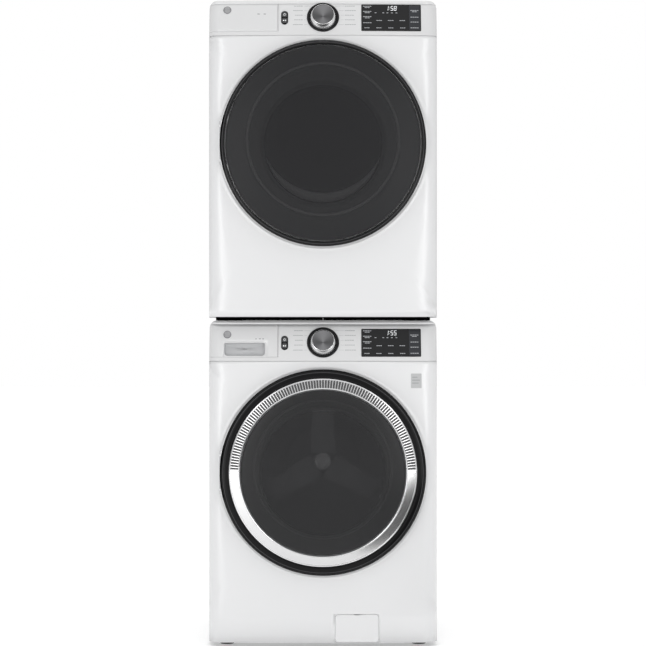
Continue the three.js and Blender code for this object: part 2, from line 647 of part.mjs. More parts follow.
function addDryerDrum(dryer) {
  const z = DRYER_DOOR_Z;
  const shell = turned([
    [DRUM_RADIUS - 3, -240], [DRUM_RADIUS, -240], [DRUM_RADIUS, 320], [0, 320], [0, 317], [DRUM_RADIUS - 3, 317],
  ], z, FINE);
  const lifters = [30, 150, 270].map((degrees) => {
    const base = DRUM_RADIUS - 2;
    const outline = shapeOf([[-24, base], [-8, base - 55], [8, base - 55], [24, base]]);
    const geometry = new THREE.ExtrudeGeometry(outline, { depth: 480, bevelEnabled: false });
    geometry.rotateX(Math.PI / 2);
    geometry.translate(0, 280, 0);
    geometry.rotateY(THREE.MathUtils.degToRad(degrees));
    geometry.translate(0, 0, z);
    return solid(geometry);
  });
  place(dryer, 'dryer_drum', join(shell, ...lifters), stainless());

  const { halfX, front, back, low, high } = FILTER_POCKET;
  const disc = turned([
    [DRYER_THROAT - 11, -352], [DRYER_THROAT - 5, -352], [DRYER_THROAT - 5, -262], [330, -262], [330, -252],
    [DRYER_THROAT - 11, -252],
  ], z, ROUND);
  const pocket = block(-halfX, halfX, front, back, low, high);
  const slot = block(-halfX + 4, halfX - 4, front + 3, back - 3, low - 5, z - 120);
  place(dryer, 'dryer_front_bulkhead', cut(join(disc, pocket), slot), whitePlastic());

  const filter = LINT_FILTER;
  const frame = block(-filter.halfX, filter.halfX, filter.front, filter.back, filter.low, filter.high);
  const windows = [-1, 0, 1].map((column) => block(
    column * 70 - 30, column * 70 + 30, filter.front + 2, filter.back + 5, filter.low + 8, filter.high - 40,
  ));
  place(dryer, 'dryer_lint_filter', cut(frame, ...windows), greyPlastic());
}

const DRIVE = { x: -130, z: 110, pulleyRadius: 12, beltY: 8, beltWidth: 14 };
const DUCT = { x: 0, z: 104, radius: 50.8, wall: 1.6 };

function addDryerDrive(dryer) {
  const { x, z, pulleyRadius, beltY, beltWidth } = DRIVE;
  const motor = cut(rodY(58, -150, -10, x, z), rodY(7, -200, 60, x, z, SMALL));
  const foot = block(x - 50, x + 50, -130, -30, 42.5, z - 40);
  place(dryer, 'dryer_motor', join(motor, foot), galvanised());
  const hub = rodY(24, -236, -190, x, z);
  const backPlate = rodY(72, -196, -190, x, z);
  const blades = Array.from({ length: 12 }, (_, index) => {
    const geometry = new THREE.BoxGeometry(52, 42, 3);
    geometry.translate(45, -215, 0);
    geometry.rotateY((index / 12) * Math.PI * 2);
    geometry.translate(x, 0, z);
    return solid(geometry);
  });
  const shaft = rodY(6, -195, 30, x, z, SMALL);
  const pulley = rodY(pulleyRadius, beltY - 3, beltY + beltWidth + 3, x, z, SMALL);
  place(dryer, 'dryer_blower_wheel', join(hub, backPlate, shaft, pulley, ...blades), blackPlastic());
  place(dryer, 'dryer_belt', beltLoop(), blackRubber());
  place(dryer, 'dryer_exhaust_duct', exhaustDuct(), galvanised());
}

// The belt runs round the drum and the motor pulley along their outer tangents.
function beltLoop() {
  const { x, z, pulleyRadius, beltY, beltWidth } = DRIVE;
  const clearance = 2.5;
  const thickness = 2.4;
  const across = new THREE.Vector2(x, z - DRYER_DOOR_Z);
  const heading = Math.atan2(across.y, across.x);
  const spread = Math.acos((DRUM_RADIUS - pulleyRadius) / across.length());
  const arc = (cx, cz, radius, from, to, steps) => Array.from({ length: steps + 1 }, (_, index) => {
    const angle = from + ((to - from) * index) / steps;
    return new THREE.Vector2(cx + radius * Math.cos(angle), cz + radius * Math.sin(angle));
  });
  const turn = Math.PI * 2;
  const outline = (extra) => [
    ...arc(0, DRYER_DOOR_Z, DRUM_RADIUS + clearance + extra, heading + spread, heading - spread + turn, 28),
    ...arc(x, z, pulleyRadius + clearance + extra, heading - spread, heading + spread, 5),
  ];
  const outer = solid(raisedBelt(outline(thickness), beltY, beltWidth));
  const inner = solid(raisedBelt(outline(0), beltY - 1, beltWidth + 2));
  return cut(outer, inner);
}

function raisedBelt(points, y0, width) {
  const geometry = new THREE.ExtrudeGeometry(new THREE.Shape(points), { depth: width, bevelEnabled: false });
  geometry.rotateX(Math.PI / 2);
  geometry.translate(0, y0 + width, 0);
  return geometry;
}

// A scroll round the blower wheel that leads into a round duct out of the back.
function exhaustDuct() {
  const { x, z } = DRIVE;
  const walls = (inset) => {
    const scroll = rodY(82 - inset, -244 + (inset ? -5 : 0), -182 - inset, x, z);
    const crossover = block(x, DUCT.x + 46 - inset, -240 + inset, -182 - inset, DUCT.z - 48 + inset, DUCT.z + 48 - inset);
    const duct = rodY(DUCT.radius - inset, -200, REAR_FITTING_Y + (inset ? 5 : 0), DUCT.x, DUCT.z);
    return join(scroll, crossover, duct);
  };
  const shaftHole = rodY(9, -200, -150, x, z, SMALL);
  return cut(walls(0), walls(DUCT.wall), shaftHole);
}

function buildDryer() {
  const dryer = new THREE.Group();
  const gland = cordGland(-280, 120);
  const ductHole = rodY(DUCT.radius + 1.5, 350, 400, DUCT.x, DUCT.z);
  const walls = cut(join(cabinet(DRYER_TOP, [ductHole]), gland.bush), gland.hole);
  place(dryer, 'dryer_cabinet', walls, whiteEnamel());
  place(dryer, 'dryer_base', basePan([]), galvanised());
  place(dryer, 'dryer_top_panel', topPanel(DRYER_TOP), whiteEnamel());
  place(dryer, 'dryer_front_panel', frontPanel(DRYER_DOOR_Z, DRYER_THROAT, []), whiteEnamel());
  place(dryer, 'dryer_console', consoleFascia(DRYER_TOP), whitePlastic());
  place(dryer, 'dryer_console_filler', leftSection(DRYER_TOP), whitePlastic());
  place(dryer, 'dryer_display', displayWindow(DRYER_TOP), blackGloss());
  addKnob(dryer, 'dryer');
  addButtons(dryer, 'dryer');
  addDryerDoor(dryer);
  addDryerDrum(dryer);
  addDryerDrive(dryer);
  dryer.position.z = DRYER_LIFT;
  return dryer;
}

// ---- Stacking kit: a rail under each side of the dryer, each with half of the strip that closes the gap ----
const RAIL = { inner: 274, outer: 335, front: -286, back: 330, stripFront: -270, stripBack: -262 };

function addStackingKit(stack) {
  const low = WASHER_TOP + GAP;
  const high = DRYER_LIFT + CABINET_BOTTOM + 2 - GAP;
  [['left', -1], ['right', 1]].forEach(([side, sign]) => {
    const [x0, x1] = [sign * RAIL.inner, sign * RAIL.outer].sort((a, b) => a - b);
    const [x2, x3] = [sign * GAP, sign * (RAIL.inner + 1)].sort((a, b) => a - b);
    const rail = block(x0, x1, RAIL.front, RAIL.back, low, high);
    const strip = block(x2, x3, RAIL.stripFront, RAIL.stripBack, low, high);
    place(stack, `stacking_bracket_${side}`, join(rail, strip), blackRubber());
  });
}

const stack = new THREE.Group();
stack.add(buildWasher());
stack.add(buildDryer());
addStackingKit(stack);

export default stack;
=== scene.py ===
"""Front-loading washer with its matching dryer stacked on top.

Lengths are in millimetres in the classes that build pieces, and in metres in the finishes and the studio.
Every mesh is made in metres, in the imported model's frame: X to the right, doors facing -Y, Z up.
"""
import logging
import math
from collections.abc import Callable, Sequence
from dataclasses import dataclass, field
from enum import Enum
from typing import ClassVar

import bmesh
import bpy
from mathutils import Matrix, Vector


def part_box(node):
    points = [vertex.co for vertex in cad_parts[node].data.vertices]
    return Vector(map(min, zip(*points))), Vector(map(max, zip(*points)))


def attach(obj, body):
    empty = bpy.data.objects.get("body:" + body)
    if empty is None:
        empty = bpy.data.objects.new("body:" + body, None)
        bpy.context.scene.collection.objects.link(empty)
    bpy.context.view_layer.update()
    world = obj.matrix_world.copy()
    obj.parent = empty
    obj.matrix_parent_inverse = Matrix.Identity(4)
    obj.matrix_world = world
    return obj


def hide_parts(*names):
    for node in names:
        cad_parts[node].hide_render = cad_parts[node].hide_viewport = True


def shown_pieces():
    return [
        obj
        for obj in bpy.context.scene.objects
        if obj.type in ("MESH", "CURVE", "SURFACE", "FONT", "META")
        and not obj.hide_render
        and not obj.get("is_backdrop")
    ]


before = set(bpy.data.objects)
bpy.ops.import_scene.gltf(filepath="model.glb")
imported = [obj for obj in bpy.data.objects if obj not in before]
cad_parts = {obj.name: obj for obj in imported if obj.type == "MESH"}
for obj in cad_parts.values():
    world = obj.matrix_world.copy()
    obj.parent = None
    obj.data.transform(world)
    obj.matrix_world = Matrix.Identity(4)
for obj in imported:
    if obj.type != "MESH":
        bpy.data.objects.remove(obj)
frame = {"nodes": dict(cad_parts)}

LOG = logging.getLogger("washer_dryer_stack")
MM = 0.001
TAU = math.tau
Point = tuple[float, float, float]
Flat = tuple[float, float]
Number = float | int
Lay = Callable[[float, float, float], Point]
Tone = int | Callable[[int, int], int]
Span = tuple[float, float, float, float]


# ---------------------------------------------------------------- shader values
class Wire:
    """A shader value whose arithmetic adds Math nodes to its material."""

    def __init__(self, paint: "Paint", socket: bpy.types.NodeSocket) -> None:
        """Keep the material and the socket that the value comes from."""
        self.paint = paint
        self.socket = socket

    def __add__(self, other: "Wire | Number") -> "Wire":
        """Sum of two values."""
        return self.paint.math("ADD", self, other)

    __radd__ = __add__

    def __sub__(self, other: "Wire | Number") -> "Wire":
        """This value less another."""
        return self.paint.math("SUBTRACT", self, other)

    def __rsub__(self, other: "Wire | Number") -> "Wire":
        """Another value less this one."""
        return self.paint.math("SUBTRACT", other, self)

    def __mul__(self, other: "Wire | Number") -> "Wire":
        """Product of two values."""
        return self.paint.math("MULTIPLY", self, other)

    __rmul__ = __mul__

    def __gt__(self, other: "Wire | Number") -> "Wire":
        """1 where this value is the larger, otherwise 0."""
        return self.paint.math("GREATER_THAN", self, other)


class Paint:
    """A material under construction, with one method that adds any node."""

    def __init__(self, name: str) -> None:
        """Start an empty material that holds only its shader and output.

        Args:
            name: the material's name.
        """
        self.material = bpy.data.materials.new(name)
        self.material.use_nodes = True
        self.tree = self.material.node_tree
        self.shader = next(n for n in self.tree.nodes if n.type == "BSDF_PRINCIPLED")
        self.place = self.node("ShaderNodeTexCoord", {}, {}, "Object")

    def node(self, kind: str, settings: dict[str, object], inputs: dict[str | int, object],
             output: str | int) -> Wire:
        """Add a node of any type.

        Args:
            kind: the node's Blender type.
            settings: attributes set before its sockets are filled.
            inputs: a value or a Wire for each socket.
            output: the socket to return.

        Returns:
            The named output as a Wire.
        """
        made = self.tree.nodes.new(kind)
        for key, value in settings.items():
            setattr(made, key, value)
        for key, value in inputs.items():
            if isinstance(value, Wire):
                self.tree.links.new(value.socket, made.inputs[key])
            else:
                made.inputs[key].default_value = value
        return Wire(self, made.outputs[output])

    def math(self, operation: str, first: "Wire | Number", second: "Wire | Number" = 0.0) -> Wire:
        """Add one Math node and return its value."""
        return self.node("ShaderNodeMath", {"operation": operation}, {0: first, 1: second}, 0)

    def noise(self, scale: float, detail: float = 3.0, stretch: Point = (1.0, 1.0, 1.0)) -> Wire:
        """Cloudy noise in metres of the object.

        Args:
            scale: how many blotches there are to a metre.
            detail: octaves.
            stretch: how much finer the pattern is along each axis.

        Returns:
            The noise, from 0 to 1.
        """
        spot = self.node("ShaderNodeVectorMath", {"operation": "MULTIPLY"}, {0: self.place, 1: stretch}, 0)
        return self.node("ShaderNodeTexNoise", {}, {"Vector": spot, "Scale": scale, "Detail": detail}, 0)

    def blend(self, factor: Wire, low: Sequence[float], high: Sequence[float]) -> Wire:
        """Mix two colours by a value from 0 to 1."""
        fill = {0: factor, 6: (*low, 1.0), 7: (*high, 1.0)}
        return self.node("ShaderNodeMix", {"data_type": "RGBA"}, fill, 2)

    def bump(self, height: Wire, strength: float, distance: float) -> None:
        """Feed a height into the surface normal.

        Args:
            height: the height pattern.
            strength: from 0 to 1.
            distance: depth of the pattern in metres.
        """
        fill = {"Height": height, "Strength": strength, "Distance": distance}
        self.feed("Normal", self.node("ShaderNodeBump", {}, fill, 0))

    def feed(self, socket: str, value: object) -> None:
        """Set or link one socket of the surface shader.

        Args:
            socket: the socket's name.
            value: a Wire, a number or a colour.
        """
        target = self.shader.inputs[socket]
        if isinstance(value, Wire):
            self.tree.links.new(value.socket, target)
        elif hasattr(target.default_value, "__len__") and len(value) == 3:
            target.default_value = (*value, 1.0)
        else:
            target.default_value = value

    def around(self, centre: Point) -> tuple[Wire, Wire, Wire]:
        """Polar place about an axis along Y.

        Args:
            centre: a point on the axis, in metres.

        Returns:
            Radius in metres, angle in radians and the distance along the axis.
        """
        moved = self.node("ShaderNodeVectorMath", {"operation": "SUBTRACT"}, {0: self.place, 1: centre}, 0)
        parts = self.node("ShaderNodeSeparateXYZ", {}, {0: moved}, 0)
        x, y, z = (Wire(self, parts.socket.node.outputs[i]) for i in range(3))
        radius = self.math("SQRT", x * x + z * z)
        return radius, self.math("ARCTAN2", z, x), y


# ---------------------------------------------------------------- finishes
@dataclass(frozen=True)
class Finish:
    """What every finish has: a name, a colour and a roughness."""

    name: str
    colour: Point
    roughness: float

    _made: ClassVar[dict[str, bpy.types.Material]] = {}

    def material(self) -> bpy.types.Material:
        """The finish as a material, made once.

        Returns:
            The material.
        """
        if self.name not in self._made:
            paint = Paint(self.name)
            self.dress(paint)
            paint.material.diffuse_color = (*self.colour, 1.0)
            self._made[self.name] = paint.material
        return self._made[self.name]

    def dress(self, paint: Paint) -> None:
        """Add the nodes of this finish to an empty material."""
        self.tint(paint, 9.0, 0.03)
        self.wear(paint, 60.0, 0.04)

    def tint(self, paint: Paint, scale: float, spread: float) -> None:
        """Give the colour a slow, slight change over the surface.

        Args:
            paint: the material.
            scale: blotches to a metre.
            spread: the change as a share of the colour.
        """
        paint.feed("Base Color", paint.blend(paint.noise(scale), *self.shades(1.0 - spread, 1.0 + spread)))

    def shades(self, low: float, high: float) -> tuple[list[float], list[float]]:
        """The colour made darker and made lighter."""
        return [c * low for c in self.colour], [min(1.0, c * high) for c in self.colour]

    def wear(self, paint: Paint, scale: float, spread: float) -> None:
        """Let the roughness wander by up to a spread either way."""
        paint.feed("Roughness", paint.noise(scale, 4.0) * (2 * spread) + (self.roughness - spread))


@dataclass(frozen=True)
class Enamel(Finish):
    """Baked enamel on sheet steel, with the faint orange peel of sprayed paint."""

    peel: float = 0.05
    coat: float = 0.35

    def dress(self, paint: Paint) -> None:
        """Slow tone changes, fine peel and a clear coat.

        Args:
            paint: the material.
        """
        self.tint(paint, 2.5, 0.006)
        self.wear(paint, 14.0, 0.03)
        paint.bump(paint.noise(420.0, 2.0), self.peel, 0.0002)
        paint.feed("Coat Weight", self.coat)
        paint.feed("Coat Roughness", 0.26)


@dataclass(frozen=True)
class Moulded(Finish):
    """Moulded plastic or rubber with a fine spark-eroded grain."""

    grain: float = 0.15
    specular: float = 0.5

    def dress(self, paint: Paint) -> None:
        """Grain in the surface and slight mottling.

        Args:
            paint: the material.
        """
        self.tint(paint, 12.0, 0.03)
        self.wear(paint, 90.0, 0.05)
        paint.bump(paint.noise(1500.0, 2.0), self.grain, 0.00025)
        paint.feed("Specular IOR Level", self.specular)


@dataclass(frozen=True)
class PianoGloss(Finish):
    """Polished black plastic with fingerprints just visible in its shine."""

    coat: float = 0.06
    specular: float = 0.16

    def dress(self, paint: Paint) -> None:
        """Smudges in the roughness under a clear coat.

        Args:
            paint: the material.
        """
        paint.feed("Specular IOR Level", self.specular)
        smudges = paint.noise(25.0, 6.0) * paint.noise(7.0, 2.0)
        paint.feed("Roughness", smudges * 0.12 + self.roughness)
        self.tint(paint, 5.0, 0.08)
        paint.feed("Coat Weight", self.coat)
        paint.feed("Coat Roughness", 0.04)


@dataclass(frozen=True)
class SmokedWindow(Finish):
    """Smoked plastic that lets a little light through."""

    opacity: float = 0.9
    specular: float = 0.1

    def dress(self, paint: Paint) -> None:
        """A dark see-through sheet with faint smudges.

        Args:
            paint: the material.
        """
        paint.feed("Roughness", paint.noise(9.0, 5.0) * 0.05 + self.roughness)
        self.tint(paint, 3.0, 0.05)
        paint.feed("Alpha", paint.noise(2.0, 1.0) * 0.02 + self.opacity)
        paint.feed("Specular IOR Level", self.specular)


class Brush(Enum):
    """The way a metal was brushed."""

    ALONG_X = "along_x"
    TURNED = "turned"
    # A spun face whose colour carries a painted highlight: light and dark lobes by angle.
    SPUN_FACE_PAINTED_HIGHLIGHT = "spun_face"


@dataclass(frozen=True)
class Metal(Finish):
    """Brushed or spun metal."""

    brush: Brush = Brush.ALONG_X
    centre: Point = (0.0, 0.0, 0.0)
    depth: float = 0.12

    def dress(self, paint: Paint) -> None:
        """Fine scratches that follow the brushing; a spun face also gets a painted highlight, lighter and
        darker by angle round its middle.

        Args:
            paint: the material.
        """
        paint.feed("Metallic", 1.0)
        radius, angle, along = paint.around(self.centre)
        if self.brush is Brush.ALONG_X:
            lines = paint.noise(30.0, 5.0, (1.0, 40.0, 40.0))
        else:
            turned = {0: radius * 2600.0, 1: angle * 1.2, 2: along * 900.0}
            spot = paint.node("ShaderNodeCombineXYZ", {}, turned, 0)
            lines = paint.node("ShaderNodeTexNoise", {}, {"Vector": spot, "Scale": 1.0, "Detail": 4.0}, 0)
        tone, shades = lines, self.shades(0.86, 1.1)
        if self.brush is Brush.SPUN_FACE_PAINTED_HIGHLIGHT:
            # Painted highlight: the spun face is made lighter and darker by angle, standing in for the conic
            # reflection of spun metal.
            painted_highlight_fan = paint.math("SINE", angle * 2.0 - 1.57) * 0.5 + 0.5
            tone, shades = painted_highlight_fan * 0.75 + lines * 0.25, self.shades(0.45, 1.5)
        paint.feed("Base Color", paint.blend(tone, *shades))
        paint.feed("Roughness", lines * 0.16 + (self.roughness - 0.08))
        paint.bump(lines, self.depth, 0.0001)


@dataclass(frozen=True)
class PerforatedDrum(Metal):
    """Stainless drum sheet with rows of small holes."""

    pitch: float = 0.016
    hole: float = 0.34
    reach: float = 0.27
    plain_within: float = 0.255

    def dress(self, paint: Paint) -> None:
        """Holes in staggered rows round the drum, painted near black: painted shade for the tub seen through
        them.

        Args:
            paint: the material.
        """
        super().dress(paint)
        radius, angle, along = paint.around(self.centre)
        rounds = round(TAU * self.reach / self.pitch)
        across = paint.math("COSINE", angle * rounds)
        up = paint.math("COSINE", along * (TAU / self.pitch))
        # Painted shade: where a hole falls the colour turns near black and the metal is dropped.
        hole_shade_mask = ((across * up) > (1.0 - self.hole)) * (radius > self.plain_within)
        paint.feed("Base Color", paint.blend(hole_shade_mask, self.colour, (0.01, 0.01, 0.01)))
        paint.feed("Metallic", 1.0 - hole_shade_mask)


@dataclass(frozen=True)
class Spangle(Finish):
    """Galvanised sheet with its crystal pattern."""

    def dress(self, paint: Paint) -> None:
        """Cells of slightly different grey.

        Args:
            paint: the material.
        """
        fill = {"Vector": paint.place, "Scale": 70.0}
        cells = paint.node("ShaderNodeTexVoronoi", {}, fill, "Color")
        tone = paint.node("ShaderNodeSeparateColor", {}, {0: cells}, 0)
        paint.feed("Base Color", paint.blend(tone, *self.shades(0.8, 1.15)))
        paint.feed("Metallic", 0.85)
        paint.feed("Roughness", tone * 0.15 + self.roughness)


@dataclass(frozen=True)
class Glow(Finish):
    """A lit segment or a printed mark that reads bright on black."""

    strength: float = 1.0

    def dress(self, paint: Paint) -> None:
        """Even light with a little grain.

        Args:
            paint: the material.
        """
        self.tint(paint, 300.0, 0.05)
        paint.feed("Emission Color", self.colour)
        paint.feed("Emission Strength", self.strength)
        paint.feed("Roughness", self.roughness)


WHITE = Enamel("white_enamel", (0.8, 0.803, 0.81), 0.3, coat=0.8)
WHITE_PLASTIC = Enamel("white_console_plastic", (0.75, 0.752, 0.757), 0.34, peel=0.03, coat=0.6)
POCKET_GREY = Moulded("grip_pocket_grey", (0.56, 0.565, 0.575), 0.4, grain=0.08)
RIM_BLACK = PianoGloss("door_ring_black", (0.005, 0.005, 0.0055), 0.12, coat=0.0)
# Painted highlight: a lighter grey band standing in for the shine along the door ring's fine crease.
RIM_PAINTED_HIGHLIGHT = PianoGloss("door_ring_painted_highlight", (0.055, 0.055, 0.058), 0.2)
SLOT_GREY = Moulded("trim_slot_grey", (0.06, 0.06, 0.062), 0.5, grain=0.04)
PANEL_BLACK = PianoGloss("control_black", (0.008, 0.008, 0.009), 0.16)
DISPLAY_BLACK = PianoGloss("display_black", (0.02, 0.02, 0.021), 0.22)
DISPLAY_SIDE = PianoGloss("display_side_column", (0.04, 0.042, 0.048), 0.25)
KEY_BLACK = Moulded("key_black", (0.045, 0.045, 0.048), 0.4, grain=0.06)
SOOT_BLACK = Moulded("soft_black", (0.012, 0.012, 0.012), 0.7)
LIGHT_GREY = Moulded("door_liner_grey", (0.58, 0.59, 0.6), 0.45)
RUBBER_GREY = Moulded("gasket_rubber", (0.3, 0.31, 0.32), 0.75, grain=0.3)
RUBBER_BLACK = Moulded("foot_rubber", (0.03, 0.03, 0.031), 0.8, grain=0.35)
SCREW_STEEL = Metal("screw_steel", (0.55, 0.55, 0.56), 0.35)
CAST = Moulded("cast_aluminium", (0.4, 0.41, 0.42), 0.55, grain=0.4)
SPANGLE = Spangle("galvanised_sheet", (0.5, 0.51, 0.52), 0.35)
BADGE_METAL = Metal("badge_metal", (0.42, 0.42, 0.43), 0.3)
PRINT_GREY = Moulded("printed_grey", (0.36, 0.37, 0.38), 0.5, grain=0.02)
PRINT_DARK = Moulded("printed_dark", (0.14, 0.14, 0.15), 0.5, grain=0.02)
LABEL_PALE = Moulded("label_pale", (0.52, 0.525, 0.53), 0.5, grain=0.02)
LIT_WHITE = Glow("lit_white", (0.85, 0.87, 0.88), 0.4, strength=0.55)
LIT_DIM = Glow("lit_dim", (0.42, 0.43, 0.45), 0.4, strength=0.12)
WASHER_AXIS = (0.0, 0.0, 0.541)
DRYER_AXIS = (0.0, 0.0, 1.561)
TRIM_SILVER = Metal("trim_silver", (0.72, 0.72, 0.725), 0.24, Brush.TURNED, WASHER_AXIS, 0.05)
TRIM_EDGE = Metal("trim_polished", (0.85, 0.85, 0.86), 0.14, Brush.TURNED, WASHER_AXIS, 0.03)
WASHER_LENS = SmokedWindow("washer_lens_smoked", (0.029, 0.029, 0.03), 0.26, opacity=0.88)
DRYER_LENS = SmokedWindow("dryer_lens_smoked", (0.026, 0.026, 0.0275), 0.3, opacity=0.84)
BOWL_GLASS = SmokedWindow("bowl_glass", (0.55, 0.58, 0.6), 0.04, opacity=0.22)
PAN_GREY = Moulded("inner_pan_grey", (0.3, 0.305, 0.31), 0.5, grain=0.02)
# Also used for the pale crescent at the foot of the dryer's inner window, a painted highlight.
PAN_RIM = Moulded("inner_pan_rim", (0.85, 0.855, 0.86), 0.4)
# Painted shade: the dryer's inner window is made near black for the shaded drum that would be seen through
# it.
PAN_WINDOW_PAINTED_SHADE = Moulded("inner_pan_window_painted_shade", (0.03, 0.03, 0.031), 0.3)
DRUM_STEEL = PerforatedDrum("washer_drum_steel", (0.62, 0.62, 0.63), 0.3, Brush.TURNED, WASHER_AXIS)
DRYER_DRUM_STEEL = Metal("dryer_drum_steel", (0.6, 0.6, 0.61), 0.34, Brush.TURNED, DRYER_AXIS)
ARM_GREY = Moulded("drum_arm_grey", (0.2, 0.2, 0.205), 0.5)
HUB_PALE = Moulded("hub_pale", (0.75, 0.75, 0.76), 0.4)
# Painted shade: the stacking brackets are made near black to stand for the shadowed gap between the machines.
GAP_PAINTED_SHADE = Moulded("gap_painted_shade", (0.001, 0.001, 0.001), 0.9, grain=0.05, specular=0.02)
LIFTER_GREY = Moulded("lifter_grey", (0.5, 0.51, 0.52), 0.45)
FLOOR_WHITE = Glow("studio_floor_white", (0.88, 0.88, 0.88), 0.6, strength=0.36)


# ---------------------------------------------------------------- mesh making
def circle(centre: Flat, radius: float, count: int) -> list[Flat]:
    """Even points round a circle."""
    return [polar(centre, radius, TAU * k / count) for k in range(count)]


def polar(centre: Flat, radius: float, angle: float) -> Flat:
    """Place at a radius and an angle in radians from a centre."""
    return centre[0] + radius * math.cos(angle), centre[1] + radius * math.sin(angle)


@dataclass
class Surface:
    """Vertices and faces gathered for one piece, in millimetres, with a finish number on each face."""

    points: list[Point] = field(default_factory=list)
    faces: list[tuple[int, ...]] = field(default_factory=list)
    tones: list[int] = field(default_factory=list)

    def grid(self, rows: Sequence[Sequence[Point]], wrap: bool = False, tone: Tone = 0) -> None:
        """Add a sheet of quads between rows of points.

        Args:
            rows: rows of equal length.
            wrap: whether each row closes on itself.
            tone: the finish number or -1 for no face, or a function of row and column that gives it.
        """
        start = len(self.points)
        width = len(rows[0])
        for row in rows:
            self.points.extend(row)
        for i in range(len(rows) - 1):
            for j in range(width if wrap else width - 1):
                shade = tone(i, j) if callable(tone) else tone
                if shade < 0:
                    continue
                k = (j + 1) % width
                a, b = start + i * width, start + (i + 1) * width
                self.faces.append((a + j, a + k, b + k, b + j))
                self.tones.append(shade)

    def cap(self, rim: Sequence[Point], tone: int = 0) -> None:
        """Close a flat rim with one face.

        Args:
            rim: its points in order.
            tone: the finish number.
        """
        start = len(self.points)
        self.points.extend(rim)
        self.faces.append(tuple(range(start, start + len(rim))))
        self.tones.append(tone)

    def slab(self, outline: Sequence[Flat], low: float, high: float, lay: Lay,
             edge: float = 0.5, rings: int = 6, tone: int = 0) -> None:
        """Add a plate with a rounded edge that follows the surface it is laid on.

        Args:
            outline: its outline in the surface's own two directions.
            low: height of its underside over the surface.
            high: height of its top over the surface.
            lay: turns a place on the surface and a height over it into a point.
            edge: how much the top edge is rounded.
            rings: steps from the edge to the middle.
            tone: the finish number.
        """
        middle_x = sum(p[0] for p in outline) / len(outline)
        middle_y = sum(p[1] for p in outline) / len(outline)
        reach = max(math.hypot(p[0] - middle_x, p[1] - middle_y) for p in outline)

        def ring(share: float, height: float) -> list[Point]:
            """The outline shrunk towards its middle, at one height."""
            return [lay(middle_x + (x - middle_x) * share, middle_y + (y - middle_y) * share, height)
                    for x, y in outline]

        inset = 1.0 - edge / reach
        rows = [ring(0, low), ring(1, low), ring(1, high - edge), ring(0.5 + inset / 2, high - edge * 0.3)]
        rows += [ring(inset * (rings - i) / rings, high) for i in range(rings + 1)]
        self.grid(rows, wrap=True, tone=tone)

    def bar(self, place: Span, levels: Flat, lay: Lay, radius: float, edge: float = 0.1, steps: int = 2,
            tone: int = 0) -> None:
        """Add a thin bar such as a printed mark.

        Args:
            place: its left, right, lower and upper side.
            levels: height of its underside and of its top over the surface.
            lay: the surface that it lies on.
            radius: its corner radius.
            edge: how much the top edge is rounded.
            steps: facets in a corner.
            tone: the finish number.
        """
        self.slab(rounded_rect(*place, radius, steps), *levels, lay, edge=edge, rings=2, tone=tone)

    def turned(self, profile: Sequence[Flat], centre: Flat, segments: int = 192,
               tone: Tone = 0, closed: bool = False) -> None:
        """Spin a profile about an axis along Y.

        Args:
            profile: radius and y of each point.
            centre: x and z of the axis.
            segments: steps round.
            tone: the finish number.
            closed: whether the profile joins its own start.
        """
        ends = list(profile) + ([profile[0]] if closed else [])
        self.grid([[(x, y, z) for x, z in circle(centre, r, segments)] for r, y in ends], True, tone)

    def upright(self, profile: Sequence[Flat], centre: Flat, segments: int = 48, tone: int = 0) -> None:
        """Spin a profile of radius and z about an upright axis at x and y."""
        self.grid([[(x, y, z) for x, y in circle(centre, r, segments)] for r, z in profile], True, tone)

    def box(self, low: Point, high: Point, tone: int = 0) -> None:
        """Add a box; the piece's own bevel rounds it.

        Args:
            low: its lowest corner.
            high: its highest corner.
            tone: the finish number.
        """
        (x0, y0, z0), (x1, y1, z1) = low, high
        ring = [(x0, y0), (x1, y0), (x1, y1), (x0, y1)]
        self.grid([[(x, y, z) for x, y in ring] for z in (z0, z1)], wrap=True, tone=tone)
        self.cap([(x, y, z0) for x, y in reversed(ring)], tone)
        self.cap([(x, y, z1) for x, y in ring], tone)

    def make(self, name: str, body: str, finishes: Sequence[Finish], stands_for: str = "",
             sharp: float = 35.0, bevel: float = 0.0, wall: float = 0.0) -> bpy.types.Object:
        """Turn what was gathered into a piece of the model.

        Args:
            name: the piece's name.
            body: the moving body that it rides on.
            finishes: its finishes, in the order of the finish numbers.
            stands_for: the plain solid that it replaces, if any.
            sharp: edges that bend by more degrees than this stay sharp.
            bevel: width of a rounding on sharp edges, in millimetres.
            wall: thickness that an open sheet is given, in millimetres.

        Returns:
            The new object.
        """
        mesh = bpy.data.meshes.new(name)
        mesh.from_pydata([(x * MM, y * MM, z * MM) for x, y, z in self.points], [], self.faces)
        for polygon, tone in zip(mesh.polygons, self.tones):
            polygon.material_index = tone
        for finish in finishes:
            mesh.materials.append(finish.material())
        weld(mesh)
        piece = bpy.data.objects.new(name, mesh)
        show(piece)
        if wall:
            shell = piece.modifiers.new("wall", "SOLIDIFY")
            shell.thickness = wall * MM
            shell.offset = -1.0
            shell.use_even_offset = True
        if bevel:
            rounding = piece.modifiers.new("rounding", "BEVEL")
            rounding.width = bevel * MM
            rounding.segments = 3
            rounding.limit_method = "ANGLE"
            rounding.angle_limit = math.radians(35)
        for polygon in mesh.polygons:
            polygon.use_smooth = True
        mesh.set_sharp_from_angle(angle=math.radians(sharp))
        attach(piece, body)
        if stands_for:
            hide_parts(stands_for)
        return piece


def show(thing: bpy.types.Object) -> None:
    """Put an object in the scene."""
    bpy.context.scene.collection.objects.link(thing)


